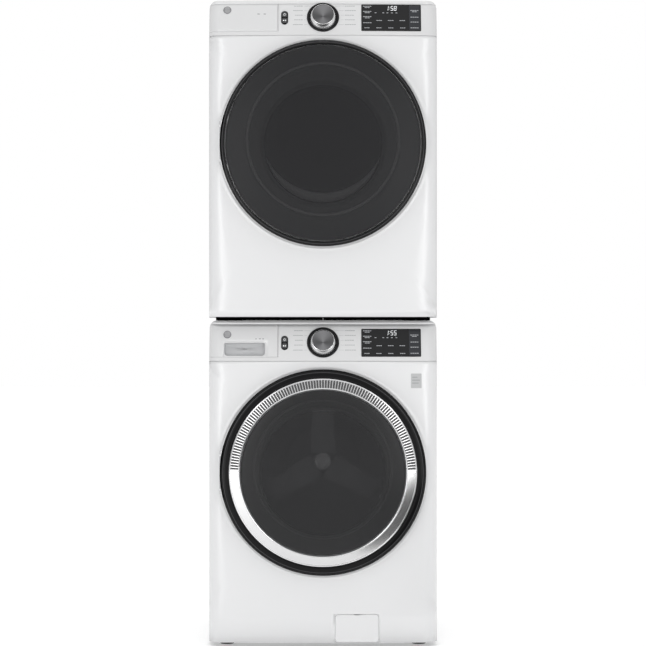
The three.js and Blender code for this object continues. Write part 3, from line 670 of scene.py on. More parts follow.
def weld(mesh: bpy.types.Mesh) -> None:
    """Merge points that coincide, drop empty faces and point every face outward.

    Args:
        mesh: the mesh to clean.
    """
    work = bmesh.new()
    work.from_mesh(mesh)
    bmesh.ops.remove_doubles(work, verts=work.verts, dist=0.02 * MM)
    bmesh.ops.dissolve_degenerate(work, edges=work.edges, dist=0.001 * MM)
    bmesh.ops.recalc_face_normals(work, faces=work.faces)
    work.to_mesh(mesh)
    work.free()


def arc(centre: Flat, radius: float, start: float, end: float, steps: int) -> list[Flat]:
    """Points on an arc, its angles in degrees."""
    return [polar(centre, radius, math.radians(start + (end - start) * i / steps)) for i in range(steps + 1)]


def rounded_rect(x0: float, x1: float, y0: float, y1: float, radius: float, steps: int = 6) -> list[Flat]:
    """Outline of a rectangle with round corners, with points along its sides too.

    Args:
        x0: left side.
        x1: right side.
        y0: lower side.
        y1: upper side.
        radius: corner radius.
        steps: facets in a corner.

    Returns:
        The outline, anticlockwise.
    """
    corners = [((x1 - radius, y0 + radius), -90), ((x1 - radius, y1 - radius), 0),
               ((x0 + radius, y1 - radius), 90), ((x0 + radius, y0 + radius), 180)]
    outline: list[Flat] = []
    for i, (centre, start) in enumerate(corners):
        turn = arc(centre, radius, start, start + 90, steps)
        outline += turn
        following, next_start = corners[(i + 1) % 4]
        first = arc(following, radius, next_start, next_start + 90, steps)[0]
        gap = math.dist(turn[-1], first)
        count = int(gap // 6)
        outline += [(turn[-1][0] + (first[0] - turn[-1][0]) * k / (count + 1),
                     turn[-1][1] + (first[1] - turn[-1][1]) * k / (count + 1)) for k in range(1, count + 1)]
    return outline


def softened(profile: Sequence[Flat], radius: float, closed: bool = False) -> list[Flat]:
    """Round the corners of a profile.

    Args:
        profile: its corner points.
        radius: how far from each corner the rounding starts, at most.
        closed: whether the profile joins its own start.

    Returns:
        The profile with each corner replaced by a short curve.
    """
    result: list[Flat] = []
    count = len(profile)
    for i, here in enumerate(profile):
        if not closed and i in (0, count - 1):
            result.append(here)
            continue
        before, after = profile[i - 1], profile[(i + 1) % count]
        back = min(radius, math.dist(before, here) * 0.45)
        ahead = min(radius, math.dist(after, here) * 0.45)
        a = tuple(here[k] + (before[k] - here[k]) * back / max(math.dist(before, here), 1e-6) for k in (0, 1))
        b = tuple(here[k] + (after[k] - here[k]) * ahead / max(math.dist(after, here), 1e-6) for k in (0, 1))
        for step in range(4):
            t = step / 3
            result.append(tuple((1 - t) ** 2 * a[k] + 2 * t * (1 - t) * here[k] + t * t * b[k]
                                for k in (0, 1)))
    return result


# ---------------------------------------------------------------- the shared outline
@dataclass(frozen=True)
class Plan:
    """The plan of both machines: a bowed front with rounded corners, as a path round the front."""

    half_width: float = 355.5
    front: float = -356.0
    bow: float = 10.0
    corner_x: float = 315.5
    corner_y: float = -306.0
    corner_radius: float = 40.0

    @property
    def half_path(self) -> float:
        """Length of the path from the middle to the end of a corner."""
        return self.corner_x + self.corner_radius * math.pi / 2

    def at(self, path: float) -> Flat:
        """Place at a distance along the path from the middle, carried straight back past a corner.

        Args:
            path: the distance, negative to the left.

        Returns:
            Its x and y.
        """
        side = math.copysign(1, path)
        run = abs(path)
        if run <= self.corner_x:
            return path, self.front + self.bow * (run / self.corner_x) ** 2
        angle = (run - self.corner_x) / self.corner_radius
        if angle <= math.pi / 2:
            return (side * (self.corner_x + self.corner_radius * math.sin(angle)),
                    self.corner_y - self.corner_radius * math.cos(angle))
        return side * self.half_width, self.corner_y + (run - self.half_path)

    def path_of(self, x: float) -> float:
        """Distance along the path at which the outline reaches a given x.

        Args:
            x: the x.

        Returns:
            The distance, negative to the left.
        """
        if abs(x) <= self.corner_x:
            return x
        share = min(1, (abs(x) - self.corner_x) / self.corner_radius)
        return math.copysign(self.corner_x + self.corner_radius * math.asin(share), x)

    def depth(self, x: float) -> float:
        """The outline's y at a given x."""
        return self.at(self.path_of(x))[1]


@dataclass(frozen=True)
class ConsoleFace:
    """The leaned face of a console, which follows the plan's bow."""

    plan: Plan
    seam: float
    lean: float = math.radians(20)

    def lay(self, x: float, up: float, out: float) -> Point:
        """Point at an x, a distance up the face from the seam and a height over it."""
        y = self.plan.depth(x) + up * math.sin(self.lean) - out * math.cos(self.lean)
        return x, y, self.seam + up * math.cos(self.lean) + out * math.sin(self.lean)

    def sheet(self, path: float, z: float, inset: float = 0.0) -> Point:
        """Point of the face at a distance along the plan's path and a height."""
        x, y = self.plan.at(path)
        return x, y + (z - self.seam) * math.tan(self.lean) + inset, z


# ---------------------------------------------------------------- the machines
class Kind(Enum):
    """Which machine of the stack."""

    WASHER = "washer"
    DRYER = "dryer"


@dataclass(frozen=True)
class Machine:
    """Where one machine stands and what its driving sizes are."""

    kind: Kind
    lift: float
    top: float
    door_z: float
    throat: float
    plan: Plan = Plan()
    console_foot: float = 886.0
    skirt: float = 10.0
    panel_foot: float = 12.0

    @property
    def name(self) -> str:
        """The word that its pieces start with."""
        return self.kind.value

    @property
    def seam(self) -> float:
        """Height of the foot of the console."""
        return self.lift + self.console_foot

    @property
    def bottom(self) -> float:
        """Height of the cabinet's lower edge."""
        return self.lift + self.skirt

    @property
    def lid(self) -> float:
        """Height of the top face."""
        return self.lift + self.top

    @property
    def door(self) -> Flat:
        """X and z of the door's middle."""
        return 0, self.lift + self.door_z

    @property
    def face(self) -> ConsoleFace:
        """The leaned face of its console."""
        return ConsoleFace(self.plan, self.seam)

    def upright(self, x: float, z: float, out: float) -> Point:
        """Point on the upright front panel at an x and z, a height over it."""
        return x, self.plan.depth(x) - out, z


@dataclass
class Cabinet:
    """Side walls, back, lid and the fittings on the back."""

    machine: Machine
    rear: float = 366.0
    front: float = -300.0
    console_back: float = -240.0
    skirt: float = 28.0
    lip: float = 12.0
    edge_radius: float = 25.0
    rear_radius: float = 5.0
    sheet: float = 1.6

    def build(self) -> None:
        """Make every piece of the cabinet."""
        self.walls()
        self.lid()
        self.rear_details()
        self.side_details()

    def walls(self) -> None:
        """The folded sheet of both sides and the back, with its notch for the console."""
        side, r = self.machine.plan.half_width, self.rear_radius
        run = [(side, self.front + 2 * k) for k in range(3)]
        run += [(side, y) for y in (-270, self.console_back, -150, 0, 150, 300)]
        run += arc((side - r, self.rear - r), r, 0, 90, 6)
        run += [(x, self.rear) for x in (300, 200, 100)]
        path = run + [(0, self.rear)] + [(-x, y) for x, y in reversed(run)]
        notch = sum(1 for x, y in path if x > 0 and y <= self.console_back) - 1
        last = len(path) - 1 - notch
        heights = [self.machine.bottom, self.machine.bottom + 300, self.machine.seam,
                   self.machine.lid - self.skirt - 0.5]
        sheet = Surface()
        sheet.grid([[(x, y, z) for x, y in path] for z in heights],
                   tone=lambda i, j: -1 if i == 2 and (j < notch or j >= last) else 0)
        sheet.make(f"{self.machine.name}_cabinet_walls", "housing", [WHITE],
                   f"{self.machine.name}_cabinet", wall=self.sheet, sharp=50.0)

    def lid(self) -> None:
        """The lid: rounded side edges, a front lip over the console and skirts at the sides and back."""
        m, r = self.machine, self.edge_radius
        side = m.plan.half_width
        lip_z = m.lid - self.lip
        skirt_z = m.lid - self.skirt
        rim = [(side, skirt_z), (side, lip_z - 14)]
        rim += arc((side - r, m.lid - r), r, 0, 90, 14)
        crossing = math.sqrt(r * r - (r - self.lip) ** 2) + side - r
        low = [p for p in rim if p[1] < lip_z - 0.01]
        high = [p for p in rim if p[1] > lip_z + 0.01]
        flat = [(x, m.lid) for x in range(320, 0, -16)]
        half = [(*p, False) for p in low] + [(crossing, lip_z, False), (crossing, lip_z, True)]
        half += [(*p, True) for p in high + flat]
        profile = half + [(0, m.lid, True)] + [(-x, z, lip) for x, z, lip in reversed(half)]
        sheet = Surface()
        sheet.grid([self._lid_rib(x, z, lip, lip_z, skirt_z) for x, z, lip in profile])
        sheet.make(f"{m.name}_lid", "housing", [WHITE], f"{m.name}_top_panel", wall=self.sheet,
                   sharp=50.0)

    def _lid_rib(self, x: float, z: float, lip: bool, lip_z: float, skirt_z: float) -> list[Point]:
        """One line of lid points from the front lip over the top to the back skirt.

        Args:
            x: the line's x.
            z: its height on top.
            lip: whether it reaches over the console.
            lip_z: height of the front lip's edge.
            skirt_z: height of the skirt's edge.

        Returns:
            The points from front to back.
        """
        face, r = self.machine.face, 5.0
        lean = math.tan(face.lean)

        def front(height: float) -> float:
            """Y of the leaned front at this x and a height."""
            return self.machine.plan.depth(x) + (height - face.seam) * lean

        if lip:
            start = front(z) + 0.4
            drop = min(r, max(0, z - lip_z))
            ribs = [(front(lip_z), lip_z), (front(z - drop), z - drop)]
            ribs += [(start + r * (1 - math.cos(a)), z - drop * (1 - math.sin(a)))
                     for a in (math.radians(d) for d in (25, 45, 65, 90))]
        else:
            ribs = [(self.console_back, z)] * 6
        ribs += [(y, z) for y in (-200, -100, 0, 100, 200, 300, self.rear - r)]
        fall = min(r, z - skirt_z)
        ribs += [(self.rear - r + r * math.sin(a), z - fall * (1 - math.cos(a)))
                 for a in (math.radians(d) for d in (30, 60, 90))]
        ribs.append((self.rear, skirt_z))
        return [(x, y, height) for y, height in ribs]

    def rear_details(self) -> None:
        """Screws, louvres and a service cover on the back."""
        m = self.machine
        back = self.rear
        cover = Surface()
        x0, x1, z0, z1 = -210, 210, m.bottom + 240, m.bottom + 640.0
        outline = rounded_rect(x0, x1, z0, z1, 24)
        cover.slab(outline, 0.1, 2.2, lambda x, z, out: (-x, back + out, z), edge=1.2, rings=4)
        ring = rounded_rect(x0 + 26, x1 - 26, z0 + 26, z1 - 26, 16)
        cover.slab(ring, 2, 3.6, lambda x, z, out: (-x, back + out, z), edge=1.0, rings=4)
        cover.make(f"{m.name}_service_cover", "housing", [WHITE])
        places = [(x, z) for x in (x0 + 12, 0, x1 - 12) for z in (z0 + 12, z1 - 12)]
        places += [(x, z) for x in (-335, -120, 120, 335) for z in (m.bottom + 24, m.lid - 44)]
        screws = Surface()
        for x, z in places:
            screws.turned([(0, back + 3.4), (1.2, back + 3.4), (1.6, back + 4.4), (3.4, back + 4.2),
                           (4.4, back + 3.2), (4.8, back + 0.2)], (x, z), segments=24)
        screws.make(f"{m.name}_rear_screws", "housing", [SCREW_STEEL])
        louvres = Surface()
        for row in range(9):
            z = m.bottom + 700.0 + row * 15.0
            outline = rounded_rect(-300, -236, z, z + 7, 3.4)
            louvres.slab(outline, 0.1, 3.2, lambda x, z, out: (-x, back + out, z), edge=2.6, rings=3)
        louvres.make(f"{m.name}_rear_louvres", "housing", [WHITE])

    def side_details(self) -> None:
        """Pressed stiffening panels on each side wall."""
        m = self.machine
        side = m.plan.half_width
        for hand, sign in (("left", -1), ("right", 1)):
            pressing = Surface()
            outer = rounded_rect(-210, 310, m.bottom + 70, m.seam - 60, 40, steps=10)
            inner = rounded_rect(-204, 304, m.bottom + 76, m.seam - 66, 34, steps=10)
            halfway = 1.0 - 6.0 / (m.seam - m.bottom - 130)

            def lay(y: float, z: float, out: float) -> Point:
                """Point on the side wall."""
                return sign * (side + out), y, z

            rows = [self._shrunk(outer, 1, lay, 0.05), self._shrunk(outer, halfway, lay, 0.9)]
            rows += [self._shrunk(inner, share, lay, 1.2) for share in (1, 0.75, 0.5, 0.25, 0)]
            pressing.grid(rows, wrap=True)
            pressing.make(f"{m.name}_side_pressing_{hand}", "housing", [WHITE])

    @staticmethod
    def _shrunk(outline: Sequence[Flat], share: float, lay: Lay, out: float) -> list[Point]:
        """An outline shrunk towards its middle.

        Args:
            outline: the outline.
            share: its new size as a share of the old.
            lay: the wall that it lies on.
            out: its height over the wall.

        Returns:
            Its points on the wall.
        """
        a0 = (min(a for a, _ in outline) + max(a for a, _ in outline)) / 2
        b0 = (min(b for _, b in outline) + max(b for _, b in outline)) / 2
        return [lay(a0 + (a - a0) * share, b0 + (b - b0) * share, out) for a, b in outline]


@dataclass
class FrontPanel:
    """The bowed front sheet with its bevelled boss round the door."""

    machine: Machine
    boss_front: float = -357.0
    boss_flat: float = 303.0
    boss_edge: float = 332.0
    boss_slope: float = 0.5
    ridge_radius: float = 327.0
    ridge_height: float = 1.3
    ridge_width: float = 3.5
    blend: float = 2.5
    blend_from: float = -350.0
    fade: float = 4.0
    sheet: float = 1.8
    spokes: int = 240
    spreads: tuple[float, ...] = (0.03, 0.08, 0.16, 0.28, 0.42, 0.58, 0.75, 0.9, 1)
    foot_runs: list[float] = field(default_factory=list)

    def depth(self, path: float, radius: float) -> float:
        """Y of the sheet at a place on its path and a distance from the door's middle.

        Args:
            path: distance along the plan's path.
            radius: distance from the door's middle.

        Returns:
            The y.
        """
        plan_y = self.machine.plan.at(path)[1]
        cone = self.boss_front + max(0, radius - self.boss_flat) * self.boss_slope
        both = sum(math.exp((self.blend_from - y) / self.blend) for y in (plan_y, cone))
        lower = self.blend_from - self.blend * math.log(both)
        ridge = self.ridge_height * math.exp(-(((radius - self.ridge_radius) / self.ridge_width) ** 2))
        meeting = max(lower, min(plan_y, cone) - 0.4)
        if radius > self.boss_edge:
            meeting = plan_y + (meeting - plan_y) * math.exp(-(radius - self.boss_edge) / self.fade)
        return meeting - ridge

    def build(self, foot: float, stops: Sequence[float] = ()) -> Surface:
        """Gather the panel from its lower edge up.

        Args:
            foot: height at which the part round the door starts.
            stops: x of places on its lower edge that need a point.

        Returns:
            The gathered sheet.
        """
        m = self.machine
        zc = m.door[1]
        half = m.plan.half_path + 5.5
        top = m.seam - 1.2
        angles = self._spoke_angles(half, foot - zc, top - zc, stops)
        radii = [m.throat, m.throat + 2, 240, 260, 280, 295, self.boss_flat]
        radii += [self.boss_flat + 1.5 * k for k in range(1, 20)]
        rows = [[self._round_point(radius, a, zc) for a in angles] for radius in radii]
        edge = [self._edge_point(a, half, foot - zc, top - zc) for a in angles]
        for share in self.spreads:
            row = []
            for a, (edge_path, edge_z) in zip(angles, edge):
                start_path = m.plan.path_of(self.boss_edge * math.cos(a))
                start_z = self.boss_edge * math.sin(a)
                path = start_path + (edge_path - start_path) * share
                z = start_z + (edge_z - start_z) * share
                x, _ = m.plan.at(path)
                row.append((x, self.depth(path, max(self.boss_edge, math.hypot(x, z))), zc + z))
            rows.append(row)
        self.foot_runs = sorted(path for path, z in edge if abs(z - (foot - zc)) < 0.01)
        throat_wall = [(x, y + 3, z) for x, y, z in rows[0]]
        sheet = Surface()
        sheet.grid([throat_wall] + rows, wrap=True)
        return sheet

    def _round_point(self, radius: float, angle: float, zc: float) -> Point:
        """A point on a circle round the door."""
        x = radius * math.cos(angle)
        return x, self.depth(self.machine.plan.path_of(x), radius), zc + radius * math.sin(angle)

    def _spoke_angles(self, half: float, low: float, high: float, stops: Sequence[float]) -> list[float]:
        """Even angles, with the directions of the panel's corners and of some stops among them.

        Args:
            half: half the panel's path.
            low: its foot, from the door's middle.
            high: its top, from the door's middle.
            stops: x of places on its foot that need a point.

        Returns:
            The angles in rising order.
        """
        corners = [math.atan2(z, x) for x in (half, -half) for z in (low, high)]
        corners += [math.atan2(low, x) for x in stops]
        angles = [TAU * i / self.spokes - math.pi for i in range(self.spokes)]
        for corner in corners:
            nearest = min(range(len(angles)), key=lambda i: abs(angles[i] - corner))
            angles[nearest] = corner
        return sorted(angles)

    @staticmethod
    def _edge_point(angle: float, half: float, low: float, high: float) -> Flat:
        """Where a spoke meets the panel's edge, as path and height from the door's middle.

        Args:
            angle: the spoke's direction.
            half: half the panel's path.
            low: its foot.
            high: its top.

        Returns:
            The path and the height.
        """
        across, up = math.cos(angle), math.sin(angle)
        reach = half / max(abs(across), 1e-9)
        limit = high if up > 0 else -low
        reach = min(reach, limit / max(abs(up), 1e-9))
        return across * reach, up * reach

    def finish_piece(self, sheet: Surface) -> None:
        """Make the gathered sheet into the front panel."""
        sheet.make(f"{self.machine.name}_front_sheet", "housing", [WHITE],
                   f"{self.machine.name}_front_panel", wall=self.sheet, sharp=60.0)


@dataclass
class Label:
    """A small pale label with plain marks near the upper right of the washer's front."""

    machine: Machine
    frame: Span = (273, 306, 802, 847)

    def build(self) -> None:
        """Make the label and its marks."""
        x0, x1, z0, z1 = self.frame
        lay = self.machine.upright
        sheet = Surface()
        sheet.slab(rounded_rect(x0, x1, z0, z1, 1.5), 0, 0.4, lay, edge=0.15, rings=4)
        for row, width in enumerate((16, 24, 20)):
            z = z1 - 13.0 - row * 9.0
            sheet.bar((x0 + 4, x0 + 4.0 + width, z, z + 3), (0.3, 0.6), lay, 0.8, steps=3, tone=1)
        sheet.make(f"{self.machine.name}_label", "housing", [LABEL_PALE, PRINT_GREY])


@dataclass
class PumpService:
    """The service door at the lower right of the washer and the cap behind it."""

    machine: Machine
    x0: float = 38.0
    x1: float = 173.0
    z0: float = 14.0
    z1: float = 100.0
    corner: float = 10.0
    strip_top: float = 104.0
    cap_place: Flat = (105, 74)

    @property
    def opening(self) -> Flat:
        """Low and high x of the opening in the front panel."""
        return self.x0 - 0.5, self.x1 + 0.5

    def add_strip(self, sheet: Surface, runs: Sequence[float]) -> None:
        """Add the foot of the front panel, with the opening for the service door.

        Args:
            sheet: the front panel under construction.
            runs: places along the panel's path at which it has points.
        """
        plan = self.machine.plan
        hole = self.opening
        heights = [self.machine.panel_foot, self.z1 + 0.5, self.strip_top]
        sheet.grid([[(*plan.at(run), z) for run in runs] for z in heights],
                   tone=lambda i, j: -1 if i == 0 and hole[0] - 0.1 < runs[j] < hole[1] - 0.1 else 0)
        for x, sign in ((hole[0], 1), (hole[1], -1)):
            radius = self.corner + 0.4
            bend = arc((x + sign * radius, self.z1 + 0.5 - radius), radius, 90, 180.0 if sign > 0 else 0, 8)
            corner = self.machine.upright(x, self.z1 + 0.5, 0)
            sheet.grid([[self.machine.upright(a, b, 0) for a, b in bend], [corner] * len(bend)])

    def build(self) -> None:
        """Make the service door, its finger notch and the filter cap."""
        outline = rounded_rect(self.x0 + 0.2, self.x1 - 0.2, self.z0 + 0.2, self.z1 - 0.2, self.corner)
        outline = [(x, z - self._notch(x, z)) for x, z in outline]
        door = Surface()
        door.slab(outline, -2, 0, self.machine.upright, edge=0.6, rings=8)
        door.make("pump_service_door", "pump_door", [WHITE], "pump_filter_door", sharp=50.0)
        cap = Surface()
        cap.turned(softened([(0, -336.6), (19, -336.6), (21, -338), (26, -337), (26.5, -330),
                             (26, -322), (0, -322)], 1.2), self.cap_place, 96)
        x, z = self.cap_place
        cap.box((x - 4, -346, z - 21), (x + 4, -335, z + 21))
        cap.make("pump_cap_with_grip", "pump_cap", [LIGHT_GREY], "pump_filter_cap", bevel=1.2)

    def _notch(self, x: float, z: float) -> float:
        """Depth of the finger notch at the middle of the top edge."""
        middle = (self.x0 + self.x1) / 2
        return 2.0 * math.exp(-(((x - middle) / 9) ** 4)) if z > self.z1 - 2.0 else 0.0


@dataclass
class Console:
    """The leaned control console with its knob, keys, display and printed marks."""

    machine: Machine
    digits: str
    back: float = -240.5
    sill: float = 12.0
    lip: float = 12.6
    edge_radius: float = 25.0
    section_x: float = -140.0
    wall: float = 2.6
    knob_up: float = 61.0
    grip: Span = (-307, -180, 16, 56)
    pill: Span = (-130, -108.5, 36, 82.5)
    window: Span = (119, 305, 14, 106)
    column: Span = (268, 301.5, 17.5, 102.5)
    badge_place: Flat = (-298, 87)
    clock: Flat = (201.5, 84.5)

    @property
    def left_body(self) -> str:
        """The body that carries the left end of the console."""
        return "detergent_drawer" if self.machine.kind is Kind.WASHER else "housing"

    def build(self) -> None:
        """Make every piece of the console."""
        self.skins()
        self.knob()
        self.keys()
        self.display()
        self.prints()
        self.badge()

    def skins(self) -> None:
        """The fascia with its sill, and the section to its left."""
        m = self.machine
        sill_z = m.seam + self.sill
        top_z = m.lid - self.lip
        fascia = Surface()
        self._sheet(fascia, self.section_x, None, sill_z, top_z)
        self._sheet(fascia, None, None, m.seam, sill_z)
        fascia.make(f"{m.name}_fascia", "housing", [WHITE_PLASTIC], f"{m.name}_console",
                    wall=self.wall, sharp=40.0)
        left = Surface()
        if m.kind is Kind.WASHER:
            self._sheet(left, None, self.section_x - 0.5, sill_z + 0.6, top_z, self._pocket(left))
            left.make("detergent_drawer_fascia", "detergent_drawer", [WHITE_PLASTIC, POCKET_GREY],
                      "detergent_drawer_front", wall=self.wall, sharp=40.0)
        else:
            self._sheet(left, None, self.section_x - 0.5, sill_z + 0.6, top_z)
            left.make("dryer_console_end", "housing", [WHITE_PLASTIC], "dryer_console_filler",
                      wall=self.wall, sharp=40.0)

    def _sheet(self, surface: Surface, start: float | None, end: float | None, low: float, high: float,
               hole: Span | None = None) -> None:
        """Add part of the leaned skin.

        Args:
            surface: the piece under construction.
            start: path at which it starts, or None for the left side wall.
            end: path at which it ends, or None for the right side wall.
            low: its foot.
            high: its top.
            hole: low and high x and z of an opening left in it.
        """
        plan = self.machine.plan
        runs = [float(x) for x in range(-300, 301, 12)]
        bend = [plan.corner_x + (plan.half_path - plan.corner_x) * k / 16 for k in range(17)]
        runs = sorted(set(runs + bend + [-b for b in bend]))
        low_run = -math.inf if start is None else start
        high_run = math.inf if end is None else end
        runs = [r for r in runs if low_run < r < high_run]
        runs += [v for v in (start, end) if v is not None]
        heights = [low + (high - low) * k / 10 for k in range(11)]
        if hole:
            runs = [r for r in runs if min(abs(r - hole[0]), abs(r - hole[1])) > 4] + [hole[0], hole[1]]
            heights = [low, hole[2], hole[3]] + [hole[3] + (high - hole[3]) * k / 6 for k in range(1, 7)]
        runs.sort()
        rows = [[self._skin_point(run, z) for run in runs] for z in heights]
        for row, z in zip(rows, heights):
            if start is None:
                row.insert(0, self._end_point(-1, z))
            if end is None:
                row.append(self._end_point(1, z))
        shift = 1 if start is None else 0
        gap_rows = [i for i, z in enumerate(heights[:-1])
                    if hole and z >= hole[2] - 0.01 and heights[i + 1] <= hole[3] + 0.01]
        gap_columns = [j for j, run in enumerate(runs) if hole and hole[0] - 0.01 <= run < hole[1] - 0.01]

        surface.grid(rows, tone=lambda i, j: -1 if i in gap_rows and j - shift in gap_columns else 0)

    def _skin_point(self, run: float, z: float) -> Point:
        """A point of the skin, kept inside the rounded top edges of the front view."""
        x, y, height = self.machine.face.sheet(run, z)
        return self._inside(x, z), y, height

    def _inside(self, x: float, z: float) -> float:
        """An x kept inside the rounded top edges.

        Args:
            x: the x.
            z: the height.

        Returns:
            The x, moved in where it has to be.
        """
        radius = self.edge_radius
        rise = min(radius, max(0, z - self.machine.lid + radius))
        side = self.machine.plan.half_width - radius + math.sqrt(radius ** 2 - rise ** 2)
        return max(-side, min(side, x))

    def _end_point(self, sign: float, z: float) -> Point:
        """Where the side wall of the console meets the cabinet."""
        return self._inside(sign * self.machine.plan.half_width, z), self.back, z

    def _pocket(self, surface: Surface) -> Span:
        """Add the grip pocket, with its rounded mouth.

        Args:
            surface: the drawer front under construction.

        Returns:
            The rectangle that the pocket's surround fills, as low and high x and z.
        """
        face = self.machine.face
        x0, x1, z0, z1 = self.grip
        surround = (x0 - 3, x1 + 3, z0 - 2.4, z1 + 3)
        middle = ((x0 + x1) / 2, (z0 + z1) / 2)
        corners = [math.atan2(z - middle[1], x - middle[0]) for x in surround[:2] for z in surround[2:]]
        angles = sorted([TAU * i / 120 - math.pi for i in range(120)] + corners)

        def ray(angle: float, half_x: float, low: float, high: float, radius: float) -> Flat:
            """Where a ray from the middle leaves a rectangle with round lower corners.

            Args:
                angle: the ray's direction.
                half_x: half the rectangle's width.
                low: its foot.
                high: its top.
                radius: radius of its lower corners.

            Returns:
                The place on the face.
            """
            across, up = math.cos(angle), math.sin(angle)
            near, far = 0.0, 200.0
            for _ in range(40):
                reach = (near + far) / 2
                px, pz = abs(across * reach), up * reach
                bend = radius if pz < 0 else min(radius, 3)
                dx, dz = px - (half_x - bend), (low + bend - pz) if pz < 0 else pz - (high - bend)
                outside = math.hypot(max(dx, 0), max(dz, 0)) > bend if bend else dx > 0 or dz > 0
                near, far = (near, reach) if outside else (reach, far)
            return middle[0] + across * near, middle[1] + up * near

        def ring(grow: float, radius: float, out: float) -> list[Point]:
            """The pocket's outline, grown and pushed in.

            Args:
                grow: how far it is grown.
                radius: its corner radius.
                out: its height over the face.

            Returns:
                Its points.
            """
            half_x = (x1 - x0) / 2 + grow
            points = []
            for angle in angles:
                x, z = ray(angle, half_x, z0 - middle[1] - grow, z1 - middle[1] + grow, radius)
                base = face.sheet(x, face.seam + z)
                points.append((base[0], base[1] - out, base[2]))
            return points

        outer = []
        for angle in angles:
            half_x = (surround[1] - surround[0]) / 2
            x, z = ray(angle, half_x, surround[2] - middle[1], surround[3] - middle[1], 0)
            outer.append(face.sheet(x, face.seam + z))
        rows = [outer, ring(0.8, 11, 0), ring(0.2, 10.5, -0.4), ring(0, 10, -1.2), ring(-1.5, 10, -8),
                ring(-3.5, 9, -15), ring(-7, 8, -17.5)]
        rows += [[(x * share + middle[0] * (1 - share), y, z * share + (face.seam + middle[1]) * (1 - share))
                  for x, y, z in rows[-1]] for share in (0.6, 0.3, 0)]
        surface.grid(rows, wrap=True, tone=lambda i, j: 1 if i >= 3 else 0)
        return surround[0], surround[1], face.seam + surround[2], face.seam + surround[3]

    def spun(self, surface: Surface, profile: Sequence[Flat], x: float, up: float, tone: int = 0,
             segments: int = 128) -> None:
        """Spin a profile of radius and height about the face's own normal at a place on it.

        Args:
            surface: the piece under construction.
            profile: radius and height of each point.
            x: x of the place.
            up: its distance up the face.
            tone: the finish number.
            segments: steps round.
        """
        face = self.machine.face
        base = Vector(face.lay(x, up, 0))
        out = Vector((0, -math.cos(face.lean), math.sin(face.lean)))
        rise = Vector((0, math.sin(face.lean), math.cos(face.lean)))
        across = Vector((1, 0, 0))
        rows = [[tuple(base + across * a + rise * b + out * h) for a, b in circle((0, 0), r, segments)]
                for r, h in profile]
        surface.grid(rows, wrap=True, tone=tone)

    def knob(self) -> None:
        """The black bezel, the silver skirt and the spun face of the cycle knob."""
        m = self.machine
        bezel = Surface()
        self.spun(bezel, softened([(40, 0.3), (50, 0.3), (50, 2), (47.5, 3.6), (42, 3.4), (40.6, 1)],
                                  0.8), 0, self.knob_up)
        bezel.make(f"{m.name}_knob_ring", "housing", [PANEL_BLACK], f"{m.name}_knob_bezel",
                   sharp=50.0)
        centre = tuple(Vector(m.face.lay(0, self.knob_up, 0)) * MM)
        skirt = Metal(f"{m.name}_knob_skirt_metal", (0.9, 0.9, 0.905), 0.22, Brush.TURNED, centre, 0.04)
        # The knob's face metal carries a painted highlight: two light and two dark lobes by angle.
        spun = Metal(f"{m.name}_knob_face_painted_highlight_metal", (0.17, 0.17, 0.175), 0.36, Brush.SPUN_FACE_PAINTED_HIGHLIGHT, centre, 0.2)
        knob = Surface()
        self.spun(knob, softened([(0, 1.2), (38, 1.2), (39.2, 2.6), (40.6, 4.6), (40.2, 7), (36.4, 17),
                                  (34.6, 21.6), (33.6, 21.9)], 0.9), 0, self.knob_up)
        self.spun(knob, [(33.6, 21.9), (33.2, 21.1), (32.8, 20.8)], 0, self.knob_up, tone=1)
        self.spun(knob, [(32.8, 20.8), (32, 21), (20, 21.3), (8, 21.4), (1.5, 21.4), (0, 21.4)], 0,
                  self.knob_up, tone=2)
        knob.make(f"{m.name}_cycle_dial", f"{m.name}_cycle_knob", [skirt, PANEL_BLACK, spun],
                  f"{m.name}_knob", sharp=50.0)

    def keys(self) -> None:
        """The pill bezel with the power and start keys and their symbols."""
        m, lay = self.machine, self.machine.face.lay
        x0, x1, low, high = self.pill
        middle = (x0 + x1) / 2
        pill = rounded_rect(*self.pill, 10.6, steps=12)
        centre_up = (low + high) / 2
        dish = ((1, -1), (1, 1.2), (0.985, 1.55), (0.96, 1.7), (0.91, 1.7), (0.89, 1.5), (0.885, 0.45),
                (0.6, 0.45), (0.3, 0.45), (0, 0.45))
        bezel = Surface()
        bezel.grid([[lay(middle + (a - middle) * share, centre_up + (b - centre_up) * share, out)
                     for a, b in pill] for share, out in dish], wrap=True)
        bezel.make(f"{m.name}_key_bezel", "housing", [PANEL_BLACK], f"{m.name}_button_bezel")
        for word, base in (("power", 60.75), ("start", 40.25)):
            key = Surface()
            key.slab(rounded_rect(middle - 8, middle + 8, base, base + 17.5, 5, steps=8), 2, 3.2, lay,
                     edge=0.7)
            self._symbol(key, word, middle, base + 8.75)
            key.make(f"{m.name}_{word}_key", f"{m.name}_{word}", [KEY_BLACK, LIT_WHITE],
                     f"{m.name}_{word}_button")

    def _symbol(self, key: Surface, word: str, x: float, up: float) -> None:
        """Add the raised power or start symbol of a key.

        Args:
            key: the key under construction.
            word: the key's name.
            x: x of the key's middle.
            up: its distance up the face.
        """
        lay = self.machine.face.lay
        low, high = 3.15, 3.4
        if word == "power":
            ring = [arc((x, up), r, 125, 415, 30) for r in (4, 3.3)]
            key.grid([[lay(a, b, high) for a, b in line] for line in ring], tone=1)
            key.bar((x - 0.5, x + 0.5, up + 0.8, up + 4.8), (low, high), lay, 0.3, tone=1)
            return
        triangle = [(x - 4.6, up - 2.5), (x - 0.4, up), (x - 4.6, up + 2.5)]
        key.slab(triangle, low, high, lay, edge=0.1, rings=2, tone=1)
        for offset in (1.2, 3.2):
            key.bar((x + offset, x + offset + 1, up - 2.4, up + 2.4), (low, high), lay, 0.3, tone=1)

